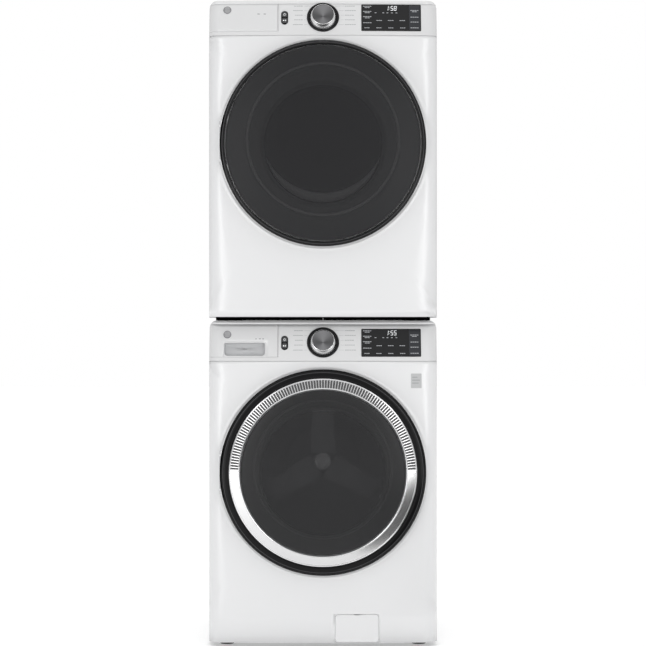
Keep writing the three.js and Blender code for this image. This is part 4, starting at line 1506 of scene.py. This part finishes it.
    def display(self) -> None:
        """The black window with its digits, plain marks and a paler side column."""
        m, lay = self.machine, self.machine.face.lay
        window = Surface()
        window.slab(rounded_rect(*self.window, 3), -1.5, 1.3, lay, edge=0.8, rings=10)
        window.make(f"{m.name}_display_window", "housing", [DISPLAY_BLACK], f"{m.name}_display")
        column = Surface()
        column.slab(rounded_rect(*self.column, 1.5), 1.25, 1.5, lay, edge=0.15, rings=4)
        column.make(f"{m.name}_display_column", "housing", [DISPLAY_SIDE])
        marks = Surface()
        places = [(138, u, 27) for u in (97, 79, 61, 42)]
        places += [(x, 24.5, 17) for x in (137, 174, 211, 248)]
        places += [(x, 50, 18) for x in (175, 211, 247)]
        for x, up, width in places:
            self._words(marks, x, up, width, 1.3, rows=2 if up > 50.5 else 1)
        for up in (83, 62, 45, 25):
            self._words(marks, 285, up, 26, 1.5, rows=2 if up > 80.0 else 1)
        for x in (164, 188, 201, 215, 229):
            self._words(marks, x, 76.5, 6.5, 1.3)
        marks.make(f"{m.name}_display_marks", "housing", [LIT_DIM])
        lit = Surface()
        x, up = self.clock
        for sign in self.digits:
            x += self._digit(lit, sign, x, up)
        lit.make(f"{m.name}_display_digits", "housing", [LIT_WHITE])

    def _words(self, surface: Surface, x: float, up: float, width: float, out: float, rows: int = 1,
               height: float = 2.2) -> None:
        """Add one or two plain bars where a caption would be.

        Args:
            surface: the marks under construction.
            x: middle of the caption.
            up: its height on the face.
            width: its width.
            out: height of the surface it lies on.
            rows: number of bars.
            height: height of a bar.
        """
        for row in range(rows):
            span = width * (1.0 if row == 0 else 0.6)
            level = up + (rows - 1) * 2.2 - row * 4.4
            cells = max(1, round(span / 6.5))
            for k in range(cells):
                left = x - span / 2 + span * k / cells
                place = (left, left + span / cells - 1, level - height / 2, level + height / 2)
                surface.bar(place, (out - 0.05, out + 0.15), self.machine.face.lay, 0.4, edge=0.08)

    def _digit(self, surface: Surface, sign: str, x: float, up: float) -> float:
        """Add one sign of the clock.

        Args:
            surface: the digits under construction.
            sign: the digit or the colon.
            x: its left side.
            up: its foot.

        Returns:
            How far the next sign is.
        """
        lay, slant = self.machine.face.lay, 0.12
        width, height, stroke = 8.0, 15.5, 1.35

        def bar(x0: float, x1: float, u0: float, u1: float) -> None:
            """One lit segment."""
            outline = [(a + (b - up) * slant, b) for a, b in rounded_rect(x0, x1, u0, u1, 0.6, steps=3)]
            surface.slab(outline, 1.25, 1.55, lay, edge=0.1, rings=2)

        if sign == ":":
            for level in (0.3, 0.68):
                bar(x, x + stroke, up + height * level, up + height * level + stroke)
            return stroke + 2.6
        half = up + height / 2
        left, right, across = (x, x + stroke), (x + width - stroke, x + width), (x + 0.7, x + width - 0.7)
        upper, lower = (half + 0.5, up + height - 0.6), (up + 0.6, half - 0.5)
        segments = {"a": (*across, up + height - stroke, up + height), "b": right + upper, "c": right + lower,
                    "d": (*across, up, up + stroke), "e": left + lower, "f": left + upper,
                    "g": (*across, half - stroke / 2, half + stroke / 2)}
        for name in {"1": "ef", "5": "afgcd", "8": "abcdefg"}[sign]:
            bar(*segments[name])
        return width + 2.4 if sign != "1" else stroke + 2.8

    def prints(self) -> None:
        """Plain bars and pointer lines where the knob's legend is, and the small marks on the left."""
        m = self.machine
        legend = Surface()
        for k, up in enumerate((36, 52.5, 68.5, 84.5, 100)):
            spread = math.sqrt(max(0, 52.0 ** 2 - (up - self.knob_up) ** 2))
            for sign, near, far in ((-1, 62, 93), (1, 68, 103)):
                width = far - near - 3.0 * (k % 3)
                self._words(legend, sign * (near + width / 2), up, width, 0.05, height=1.8)
                ends = sorted((sign * (spread + 3), sign * (near - 3)))
                if ends[1] - ends[0] > 2.0:
                    legend.bar((*ends, up - 0.3, up + 0.3), (0, 0.15), m.face.lay, 0.2, edge=0.05)
        legend.make(f"{m.name}_legend", "housing", [PRINT_GREY])
        small = Surface()
        spots = {Kind.WASHER: ((-208, 5), (-196, 7), (-186, 6)),
                 Kind.DRYER: ((-200, 9), (-181, 8))}
        for x, width in spots[m.kind]:
            self._words(small, x, 73, width, 0.05, height=2.0)
        small.make(f"{m.name}_small_marks", self.left_body, [PRINT_DARK])

    def badge(self) -> None:
        """A plain round badge near the left end."""
        badge = Surface()
        rim = softened([(0, 1), (7.2, 1), (7.6, 1.6), (8.8, 1.6), (9.2, 1), (10.4, 1), (11, 1.8),
                        (12, 1.6), (12.2, 0.1)], 0.3)
        self.spun(badge, rim[:-8], *self.badge_place, segments=64)
        self.spun(badge, rim[-9:], *self.badge_place, segments=64, tone=1)
        badge.make(f"{self.machine.name}_badge", self.left_body, [BADGE_METAL, PRINT_DARK], sharp=40.0)


# ---------------------------------------------------------------- the doors
@dataclass
class Door:
    """What both doors share: a black ring that clears the hinge, a knuckle, a strike and a cover lens."""

    machine: Machine
    notch_x: float = -276.0
    notch_y: float = -375.5
    notch_half: float = 85.0
    pin: Flat = (-312, -364)
    knuckle_half: float = 49.8

    @property
    def body(self) -> str:
        """The moving body that the door's pieces ride on."""
        return f"{self.machine.name}_door"

    def lathe(self, name: str, profile: Sequence[Flat], finishes: Sequence[Finish], stands_for: str,
              soft: float = 1.5, closed: bool = True, inner: float = 0.0) -> None:
        """Make a piece that is turned about the door's middle.

        Args:
            name: the piece's name after the door's.
            profile: radius and y of its corners.
            finishes: its finish, and the one inside the inner radius.
            stands_for: the plain solid that it replaces.
            soft: how far its corners are rounded.
            closed: whether the profile joins its own start.
            inner: radius inside which the second finish is used.
        """
        line = softened(profile, soft, closed)
        piece = Surface()
        piece.turned(line, self.machine.door, segments=240, closed=closed,
                     tone=lambda i, j: 1 if max(line[i][0], line[(i + 1) % len(line)][0]) < inner else 0)
        piece.make(f"{self.body}_{name}", self.body, finishes, stands_for, sharp=40.0)

    def ring(self, profile: Sequence[Flat], painted_highlight_band: Flat) -> None:
        """The black ring, thinned at the back where it passes over the hinge.

        Args:
            profile: radius and y of its corners.
            painted_highlight_band: low and high radius of a lighter band round its face, a painted highlight
                along its fine crease.
        """
        line = softened(profile, 2.2, closed=True)

        def tone(i: int, _: int) -> int:
            """The band along the fine crease has a finish of its own, a painted highlight."""
            radius = (line[i][0] + line[(i + 1) % len(line)][0]) / 2
            return 1 if painted_highlight_band[0] < radius < painted_highlight_band[1] and line[i][1] < -370.0 else 0

        piece = Surface()
        piece.turned(line, self.machine.door, segments=288, tone=tone, closed=True)
        middle = self.machine.door[1]
        piece.points = [(x, min(y, self.notch_y), z) if x < self.notch_x and abs(z - middle) < self.notch_half
                        else (x, y, z) for x, y, z in piece.points]
        piece.make(f"{self.body}_bezel", self.body, [RIM_BLACK, RIM_PAINTED_HIGHLIGHT],
                   f"{self.body}_ring", sharp=60.0)

    def hardware(self, arm_end: float) -> None:
        """The hinge knuckle with its arm, and the strike that the lock catches.

        Args:
            arm_end: x at which the arm joins the liner.
        """
        middle = self.machine.door[1]
        x, y = self.pin
        half = self.knuckle_half
        knuckle = Surface()
        outline = softened([(radius, middle + end) for radius, end in
                            ((5, -half), (8.4, -half), (8.4, half), (5, half))], 0.8, closed=True)
        knuckle.upright(outline + outline[:1], (x, y))
        knuckle.box((x, y - 8, middle - half + 1), (arm_end, y - 3.6, middle + half - 1))
        for step in (-30, 0, 30):
            knuckle.box((x + 6, y - 3.6, middle + step - 2), (arm_end - 2, y - 2, middle + step + 2))
        knuckle.make(f"{self.body}_knuckle", self.body, [CAST], bevel=0.5)
        strike = Surface()
        for low, high in ((-12, -7), (7, 12)):
            strike.box((236, -362, middle + low), (244, -346.2, middle + high))
        strike.box((237, -350.2, middle - 8), (243, -346.2, middle + 8))
        strike.make(f"{self.body}_strike", self.body, [SCREW_STEEL], bevel=0.8)

    def rim(self, radius: float, rise: float) -> None:
        """The paler rim seen through the lens, a little above the middle.

        Args:
            radius: its inner radius.
            rise: how far it is above the door's middle.
        """
        x0, z0 = self.machine.door
        piece = Surface()
        line = [(radius, -365), (radius + 2.5, -368), (radius + 6, -368), (radius + 8.5, -365),
                (radius + 8.5, -362.2), (radius, -362.2)]
        piece.turned(softened(line, 0.8, True), (x0, z0 + rise), closed=True)
        piece.make(f"{self.body}_inner_rim", self.body, [PAN_RIM], sharp=40.0)

    def screws(self, radius: float, y: float, count: int = 10) -> None:
        """Screw heads round the inner face of the door.

        Args:
            radius: radius of their circle.
            y: the face.
            count: how many there are.
        """
        piece = Surface()
        head = [(0, y + 0.6), (1.3, y + 0.6), (1.8, y + 1.9), (3.6, y + 1.6), (4.4, y + 0.4), (4.4, y - 0.6)]
        for k in range(count):
            piece.turned(head, polar(self.machine.door, radius, TAU * (k + 0.5) / count), segments=20)
        piece.make(f"{self.body}_screws", self.body, [SCREW_STEEL])


@dataclass
class WasherDoor(Door):
    """The washer's door: black ring, slotted silver trim, smoked lens, grey liner and glass bowl."""

    slots: int = 202
    steps_per_slot: int = 8
    slot_low: float = 262.4
    slot_high: float = 286.4
    slot_depth: float = 1.6

    def build(self) -> None:
        """Make every piece of the door."""
        self.ring([(292, -359), (308, -359), (319.8, -361), (319.8, -371), (314, -377),
                   (312, -378.4), (309.6, -378.2), (308.2, -379.8), (298, -381), (292, -380.2)],
                  (309, 311.2))
        self.trim()
        self.lathe("cover_lens", [(0, -406.4), (60, -405.7), (120, -403), (200, -396),
                                       (240, -389.6), (254.8, -386), (254.8, -382)],
                   [WASHER_LENS], "washer_door_lens", soft=6.0, closed=False)
        self.lathe("inner_frame", [(196, -359), (288, -359), (288, -375), (285, -375),
                                        (285, -362), (204, -362), (204, -370), (196, -370)],
                   [LIGHT_GREY], "washer_door_liner")
        self.lathe("glass_bowl", [(0, -226), (70, -227.5), (140, -232), (152, -242),
                                       (190, -352), (192.4, -368), (187, -368), (147, -246),
                                       (137, -238), (70, -233.6), (0, -232)], [BOWL_GLASS],
                   "washer_door_bowl", soft=8.0, closed=False)
        self.rim(209, 10)
        self.hardware(-286)
        self.screws(246, -359)

    def trim(self) -> None:
        """The silver trim ring, with radial slots over its upper half and thin polished edges."""
        centre = self.machine.door
        steps = self.steps_per_slot * self.slots
        radii = [291, 290.6, 289.6, 288.2, 287.2, self.slot_high, self.slot_high - 0.5, self.slot_high - 3,
                 self.slot_low + 3, self.slot_low + 0.5, self.slot_low, 261.8, 261, 260, 259.2, 259]
        rise = [1.6, 0.2, 0, -0.2, 1.4, 1.2, 1.2, 1.1, 1.1, 1.2, 1.3, 1.5, 0, -0.3, 0.2, 1.6]
        rows: list[list[Point]] = []
        flags: list[list[bool]] = []
        for radius, dip in zip(radii, rise):
            base = -380.0 - (291.0 - radius) / 32.0 * 8.0 + dip
            sunk = [self._slot(k, radius) for k in range(steps)]
            rows.append([(x, base + (self.slot_depth if low else 0), z)
                         for (x, z), low in zip(circle(centre, radius, steps), sunk)])
            flags.append(sunk)
        outer, inner = ([(x, y, z) for x, z in circle(centre, radius, steps)]
                        for radius, y in ((291, -376.6), (259, -384.6)))
        rows = [outer] + rows + [inner, outer]

        def tone(i: int, j: int) -> int:
            """Polished lips, brushed band and dark slot floors."""
            floor = 1 <= i < len(flags) and flags[i - 1][j] and flags[i][j] and flags[i][(j + 1) % steps]
            return 1 if floor else (2 if i in (1, 2, 3, 13, 14) else 0)

        piece = Surface()
        piece.grid(rows, wrap=True, tone=tone)
        piece.make("washer_door_silver_trim", self.body, [TRIM_SILVER, SLOT_GREY, TRIM_EDGE],
                   "washer_door_trim", sharp=30.0)

    def _slot(self, step: int, radius: float) -> bool:
        """Whether a point of the trim lies on the floor of a slot."""
        upper = 2.0 < 360.0 * step / (self.steps_per_slot * self.slots) < 178.0
        return upper and self.slot_low < radius < self.slot_high and 2 <= step % self.steps_per_slot <= 6


@dataclass
class DryerDoor(Door):
    """The dryer's door: black ring, smoked lens and a deep inner pan with its own window."""

    def build(self) -> None:
        """Make every piece of the door."""
        self.ring([(305, -359), (310, -359), (319.8, -361), (319.8, -371), (315, -377),
                   (314, -378.2), (311.8, -378), (310.6, -379.8), (309, -381), (305, -381.8)],
                  (311.2, 313.4))
        self.lathe("cover_lens", [(0, -406.4), (70, -405.6), (140, -402.5), (200, -397.8),
                                       (240, -394), (290, -384.6), (301.8, -382), (301.8, -378.2)],
                   [DRYER_LENS], "dryer_door_lens", soft=6.0, closed=False)
        # The pan's middle, inside radius 186, takes the painted shade of the inner window.
        self.lathe("inner_pan", [(0, -300), (178, -302), (187, -310), (197, -357),
                                      (202, -359), (303, -359), (303, -375), (300, -375),
                                      (300, -362), (240, -362), (236, -363.2), (230, -363.2),
                                      (226, -362), (200, -362), (194, -358), (184, -312),
                                      (176, -305), (0, -303)], [PAN_GREY, PAN_WINDOW_PAINTED_SHADE],
                   "dryer_door_liner", soft=2.5, closed=False, inner=186.0)
        self.rim(231, 13)
        self.sill()
        self.hardware(-300)
        self.screws(252, -359)

    def sill(self) -> None:
        """A pale crescent at the foot of the inner window: a painted highlight where light catches the
        window's lower wall.
        """
        x0, z0 = self.machine.door
        piece = Surface()
        rows = []
        for k in range(9):
            share = k / 8
            line = arc((x0, z0 + 46 * share), 182 + 14 * share, 208 - 6 * share, 332 + 6 * share, 60)
            y = -304.5 - 9 * math.sin(math.pi * share) - 3 * (1 - share)
            rows.append([(x, y, z) for x, z in line])
        piece.grid(rows)
        piece.make("dryer_door_window_painted_highlight", self.body, [PAN_RIM], sharp=60.0, wall=1.0)


# ---------------------------------------------------------------- behind the doors
@dataclass
class WasherTubGroup:
    """The gasket and the perforated drum with its lifters and hub."""

    machine: Machine
    lifters: tuple[float, ...] = (90, 210, 330)

    def build(self) -> None:
        """Make every piece of the group."""
        x0, z0 = self.machine.door
        gasket = Surface()
        gasket.turned(softened([(199, -354.6), (217, -354.6), (206, -346), (206, -326), (214, -312),
                                (206, -298), (214, -279.4), (199, -279.4), (199, -300), (207, -312),
                                (199, -324)], 4, True), (x0, z0), closed=True)
        gasket.make("washer_door_gasket", "housing", [RUBBER_GREY], "washer_gasket", sharp=60.0)
        drum = Surface()
        drum.turned(softened([(205, -266), (270, -262), (276, -256), (276, 236), (0, 236),
                              (0, 233.5), (60, 233.5), (66, 229), (120, 229), (126, 233.5),
                              (273.5, 233.5), (273.5, -255), (269, -259.5), (205, -263.5)], 2, True),
                    (x0, z0), closed=True)
        drum.make("washer_drum_shell", "washer_drum_assembly", [DRUM_STEEL], "washer_drum", sharp=45.0)
        lifters = Surface()
        for turn in self.lifters:
            add_lifter(lifters, (x0, z0), turn, (214.5, 273), (9, 26), (-219, 219))
        lifters.make("washer_drum_lifters", "washer_drum_assembly", [LIFTER_GREY], sharp=50.0)
        hub = Surface()
        hub.turned(softened([(0, 220), (18, 220.6), (26, 225), (30, 233.6)], 3), (x0, z0))
        for turn in self.lifters:
            across, up = polar((0, 0), 1, math.radians(turn))
            outline = [(b + (a - 40) * b * -0.0016, a) for b, a in rounded_rect(-44, 44, 26, 200, 12)]
            hub.slab([(a, b) for b, a in outline], 0, 5,
                     lambda a, b, out: (x0 + across * a - up * b, 233.4 - out, z0 + up * a + across * b),
                     edge=3.0, rings=4, tone=1)
        hub.make("washer_drum_hub_cap", "washer_drum_assembly", [HUB_PALE, ARM_GREY], sharp=50.0)


def add_lifter(surface: Surface, centre: Flat, turn: float, reach: Flat, widths: Flat, span: Flat) -> None:
    """Add one rounded lifter along the inside of a drum.

    Args:
        surface: the lifters under construction.
        centre: x and z of the drum's axis.
        turn: where it sits round the drum, in degrees.
        reach: radius of its crest and of its foot.
        widths: half width of its crest and of its foot.
        span: y at which it starts and ends.
    """
    angle = math.radians(turn)
    out = (math.cos(angle), math.sin(angle))
    side = (-out[1], out[0])
    rows = []
    stations = 18
    for i in range(stations + 1):
        share = i / stations
        fade = min(1, 6.0 * min(share, 1.0 - share) + 0.02)
        lift = math.sin(fade * math.pi / 2)
        row = []
        for k in range(17):
            bend = math.pi * k / 16
            across = math.cos(bend)
            shape = math.sin(bend) ** 0.7
            width = widths[1] + (widths[0] - widths[1]) * shape
            radius = reach[1] + (reach[0] - reach[1]) * shape * lift
            radius -= (across * width) ** 2 / (2 * reach[1])
            row.append((centre[0] + out[0] * radius + side[0] * across * width,
                        span[0] + (span[1] - span[0]) * share,
                        centre[1] + out[1] * radius + side[1] * across * width))
        rows.append(row)
    surface.grid(rows)


@dataclass
class DryerDrumGroup:
    """The dryer's drum with its lifters."""

    machine: Machine
    lifters: tuple[float, ...] = (30, 150, 270)

    def build(self) -> None:
        """Make every piece of the group."""
        x0, z0 = self.machine.door
        drum = Surface()
        profile = [(322, -239.8), (325, -239.8), (325, -150), (324.2, -146), (325, -142),
                   (325, 130), (324.2, 134), (325, 138), (325, 319.8), (0, 319.8), (0, 316.8),
                   (80, 316.8), (90, 312), (210, 312), (220, 316.8), (322, 316.8)]
        drum.turned(softened(profile, 2, True), (x0, z0), closed=True)
        drum.make("dryer_drum_shell", "dryer_drum_assembly", [DRYER_DRUM_STEEL], "dryer_drum", sharp=45.0)
        lifters = Surface()
        for turn in self.lifters:
            add_lifter(lifters, (x0, z0), turn, (268.5, 321.5), (8, 24), (-199, 279))
        lifters.make("dryer_drum_lifters", "dryer_drum_assembly", [LIFTER_GREY], sharp=50.0)


@dataclass
class Feet:
    """The four levelling feet."""

    count: int = 4

    def build(self) -> None:
        """Make each foot with its pad, hexagon nut and threaded stud."""
        for number in range(1, self.count + 1):
            low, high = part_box(f"washer_foot_{number}")
            centre = ((low[0] + high[0]) / 2 / MM, (low[1] + high[1]) / 2 / MM)
            foot = Surface()
            foot.upright([(0, 0.1), (20, 0.1), (21.8, 1.2), (21.8, 4.6), (20.4, 6.2), (14, 7), (0, 7)],
                         centre)
            foot.upright([(0, 6.9), (11.9, 6.9), (11.9, 11.2), (0, 11.2)], centre, segments=6, tone=1)
            thread = [(5.8 if k % 2 else 5, 11.2 + 0.5 * k) for k in range(50)]
            foot.upright([(0, 11.2)] + thread + [(0, 35.9)], centre, segments=32, tone=1)
            foot.make(f"levelling_foot_{number}_pad", f"levelling_foot_{number}", [RUBBER_BLACK, SCREW_STEEL],
                      f"washer_foot_{number}", sharp=40.0)


@dataclass
class Fittings:
    """Small parts on the back and on the hinge plates, and the finishes of the plain solids that stay in
    view.
    """

    machines: Sequence[Machine]
    rear: float = 366.0
    duct_centre: Flat = (0, 1115)

    def build(self) -> None:
        """Make every fitting."""
        self.ports()
        self.collar()
        self.glands()
        self.hinge_screws()
        self.dress_solids()

    def ports(self) -> None:
        """Threads on the two water inlets, with a plate behind them."""
        piece = Surface()
        for x in (210, 250):
            thread = [(13.1 if k % 2 else 13.7, self.rear + 8.0 + 0.9 * k) for k in range(26)]
            piece.turned([(13, self.rear + 7)] + thread + [(12.6, self.rear + 31.9), (9.4, self.rear + 31.9)],
                         (x, 922), segments=64)
        piece.make("inlet_port_threads", "housing", [SCREW_STEEL], sharp=60.0)
        plate = Surface()
        plate.slab(rounded_rect(188, 272, 903, 943, 6), 0.1, 1.6,
                   lambda x, z, out: (x, self.rear + out, z), edge=0.6, rings=3)
        plate.make("inlet_plate", "housing", [SPANGLE])

    def collar(self) -> None:
        """A rolled bead on the rim of the exhaust duct and a collar where it leaves the cabinet."""
        piece = Surface()
        piece.turned(softened([(52, self.rear + 0.1), (72, self.rear + 0.1), (72, self.rear + 1.8),
                               (56, self.rear + 2.4), (53.6, self.rear + 6), (51.2, self.rear + 6)], 0.8),
                     self.duct_centre, 128)
        for y in (self.rear + 14, self.rear + 24):
            piece.turned([(50.8, y - 2), (52, y - 1), (52, y + 1), (50.8, y + 2)], self.duct_centre, 128)
        piece.make("exhaust_collar", "housing", [SPANGLE], sharp=50.0)

    def glands(self) -> None:
        """Ribbed strain reliefs where the cords leave the cabinets."""
        piece = Surface()
        for z in (880, self.machines[1].lift + 120):
            profile = [(16, self.rear + 0.1), (17, self.rear + 1), (16, self.rear + 2.4)]
            profile += [(11.6 - (k % 2) * 1.2, self.rear + 3.0 + 1.1 * k) for k in range(6)]
            profile += [(6.4, self.rear + 9.4), (6.2, self.rear + 6)]
            piece.turned(profile, (-280, z), segments=48)
        piece.make("cord_gland_ribs", "housing", [SOOT_BLACK], sharp=60.0)

    def hinge_screws(self) -> None:
        """Screw heads on both hinge plates."""
        piece = Surface()
        head = [(0, -339), (1.4, -339), (1.8, -340.2), (3.8, -339.8), (4.6, -338), (4.6, -335.8)]
        for machine in self.machines:
            for offset in (-70, 70):
                piece.turned(head, (-310, machine.door[1] + offset), segments=24)
        piece.make("hinge_plate_screws", "housing", [SCREW_STEEL], sharp=50.0)

    @staticmethod
    def dress_solids() -> None:
        """Give every plain solid a finish, shown or not."""
        finishes = {
            SPANGLE: ("washer_base", "dryer_base", "washer_motor_rotor", "dryer_exhaust_duct"),
            LIGHT_GREY: ("detergent_drawer_tray", "dispenser_housing", "dryer_front_bulkhead"),
            SCREW_STEEL: ("washer_door_hinge", "dryer_door_hinge"),
            SOOT_BLACK: ("washer_door_lock", "drain_pump", "dryer_blower_wheel"),
            CAST: ("washer_drum_spider", "washer_motor_stator", "dryer_motor"),
            # The brackets carry the painted shade of the gap between the machines.
            GAP_PAINTED_SHADE: ("stacking_bracket_left", "stacking_bracket_right"),
            PAN_GREY: ("washer_tub",), POCKET_GREY: ("dryer_lint_filter",), RUBBER_BLACK: ("dryer_belt",),
        }
        by_name = {name: finish for finish, names in finishes.items() for name in names}
        for name, solid in frame["nodes"].items():
            finish = by_name.get(name, WHITE_PLASTIC)
            if not solid.material_slots:
                solid.data.materials.append(finish.material())
            for place in solid.material_slots:
                place.material = finish.material()


# ---------------------------------------------------------------- the studio
class Sky(Paint):
    """The world's shader, built with the same wrapper as a material."""

    def __init__(self) -> None:
        """Start from an empty world."""
        world = bpy.data.worlds.new("studio_sky")
        bpy.context.scene.world = world
        world.use_nodes = True
        self.tree = world.node_tree
        self.shader = next(n for n in self.tree.nodes if n.type == "BACKGROUND")
        self.place = self.node("ShaderNodeTexCoord", {}, {}, "Generated")


@dataclass
class Studio:
    """Camera, white surroundings, soft lamps and a pale floor."""

    eye: Point = (0.0, -7.856, 1.004)
    lens: float = 134.8
    side_light: float = 0.42
    front_light: float = 0.63
    top_light: float = 0.95
    softbox_power: float = 11.0
    sheen_power: float = 26.0
    glim_power: float = 1.1
    floor_half: float = 30.0

    def camera(self) -> None:
        """The camera, level and square to the front."""
        data = bpy.data.cameras.new("view")
        data.lens = self.lens
        data.sensor_width = 36.0
        data.clip_end = 100.0
        view = bpy.data.objects.new("view", data)
        view.location = self.eye
        view.rotation_euler = (math.radians(90.0), 0.0, 0.0)
        show(view)
        bpy.context.scene.camera = view

    def build(self) -> None:
        """Sky, lamps and floor."""
        self.sky()
        for hand, sign in (("left", -1.0), ("right", 1.0)):
            self.lamp(f"softbox_{hand}", (sign * 1.75, -3.7, 1.5), (0.5, 3.4), self.softbox_power,
                      (0.0, 0.0, 1.0))
            sheen = self.lamp(f"sheen_{hand}", (sign * 2.1, -3.7, 1.2), (1.5, 3.6), self.sheen_power,
                              (0.0, -0.3, 1.0))
            sheen.visible_diffuse = False
        self.flag()
        glim = self.lamp("drum_glim", (0.0, -0.18, 0.62), (0.3, 0.3), self.glim_power, (0.0, 0.23, 0.541))
        glim.visible_glossy = False
        self.floor()
        bpy.context.scene.view_settings.view_transform = "Standard"

    def sky(self) -> None:
        """White for the camera, softer and uneven for the light it gives."""
        sky = Sky()
        parts = sky.node("ShaderNodeSeparateXYZ", {}, {0: sky.place}, 0).socket.node.outputs
        across, _, up = (Wire(sky, socket) for socket in parts)
        sideways = across * across
        level = sideways * (self.side_light - self.front_light) + self.front_light
        above = sky.math("MAXIMUM", up, 0.0)
        level = level + above * above * (self.top_light - self.front_light + 0.25)
        seen = sky.node("ShaderNodeLightPath", {}, {}, "Is Camera Ray")
        level = seen * (1.0 - level) + level
        sky.feed("Strength", level)
        sky.feed("Color", (1.0, 1.0, 1.0))

    @staticmethod
    def flag() -> None:
        """A black card, seen only in polished surfaces, that darkens the lower right of the trim."""
        corners = [(0.22, -0.9, 0.01), (1.7, -0.7, 0.01), (1.7, -1.7, 0.01), (0.42, -1.6, 0.01),
                   (1.7, -1.7, 0.5), (0.55, -1.6, 0.36)]
        flag = add_staging("studio_flag", corners, [(0, 1, 2, 3), (3, 2, 4, 5)], SOOT_BLACK)
        flag.visible_camera = flag.visible_diffuse = flag.visible_shadow = flag.visible_transmission = False

    @staticmethod
    def lamp(name: str, place: Point, size: Flat, power: float, target: Point) -> bpy.types.Object:
        """Add a soft lamp that faces a target.

        Args:
            name: the lamp's name.
            place: where it stands, in metres.
            size: its width and height.
            power: its output in watts.
            target: the point that it faces.

        Returns:
            The lamp.
        """
        data = bpy.data.lights.new(name, "AREA")
        data.shape = "RECTANGLE"
        data.size, data.size_y = size
        data.energy = power
        lamp = bpy.data.objects.new(name, data)
        lamp.location = place
        lamp.rotation_euler = (Vector(target) - Vector(place)).to_track_quat("-Z", "Y").to_euler()
        lamp.visible_camera = False
        show(lamp)
        return lamp

    def floor(self) -> None:
        """A pale floor that the machines stand on."""
        half = self.floor_half
        corners = [(-half, -half, 0.0), (half, -half, 0.0), (half, half, 0.0), (-half, half, 0.0)]
        add_staging("studio_floor", corners, [(0, 1, 2, 3)], FLOOR_WHITE)


def add_staging(name: str, corners: Sequence[Point], faces: Sequence[tuple[int, ...]],
                finish: Finish) -> bpy.types.Object:
    """Add flat sheets that belong to the studio and not to the machines.

    Args:
        name: the object's name.
        corners: its corners, in metres.
        faces: the corners of each sheet.
        finish: its finish.

    Returns:
        The new object.
    """
    mesh = bpy.data.meshes.new(name)
    mesh.from_pydata(corners, [], faces)
    mesh.materials.append(finish.material())
    sheet = bpy.data.objects.new(name, mesh)
    show(sheet)
    sheet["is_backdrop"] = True
    return sheet


def main() -> None:
    """Build the stack from the floor up, then the studio."""
    logging.basicConfig(level=logging.INFO, format="%(name)s: %(message)s")
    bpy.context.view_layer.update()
    studio = Studio()
    studio.camera()
    washer = Machine(Kind.WASHER, 0.0, 1012.0, 541.0, 218.0)
    dryer = Machine(Kind.DRYER, 1011.0, 1000.0, 550.0, 215.0)
    pump = PumpService(washer)
    for machine, foot in ((washer, pump.strip_top), (dryer, dryer.lift + dryer.panel_foot)):
        Cabinet(machine).build()
        panel = FrontPanel(machine)
        sheet = panel.build(foot, pump.opening if machine is washer else ())
        if machine is washer:
            pump.add_strip(sheet, panel.foot_runs)
        panel.finish_piece(sheet)
    pump.build()
    Label(washer).build()
    Console(washer, "1:55").build()
    Console(dryer, "1:58").build()
    WasherDoor(washer).build()
    DryerDoor(dryer).build()
    WasherTubGroup(washer).build()
    DryerDrumGroup(dryer).build()
    Feet().build()
    Fittings((washer, dryer)).build()
    studio.build()
    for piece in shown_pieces():
        LOG.info("%s: %d faces", piece.name, len(piece.data.polygons))


if __name__ == "__main__":
    main()
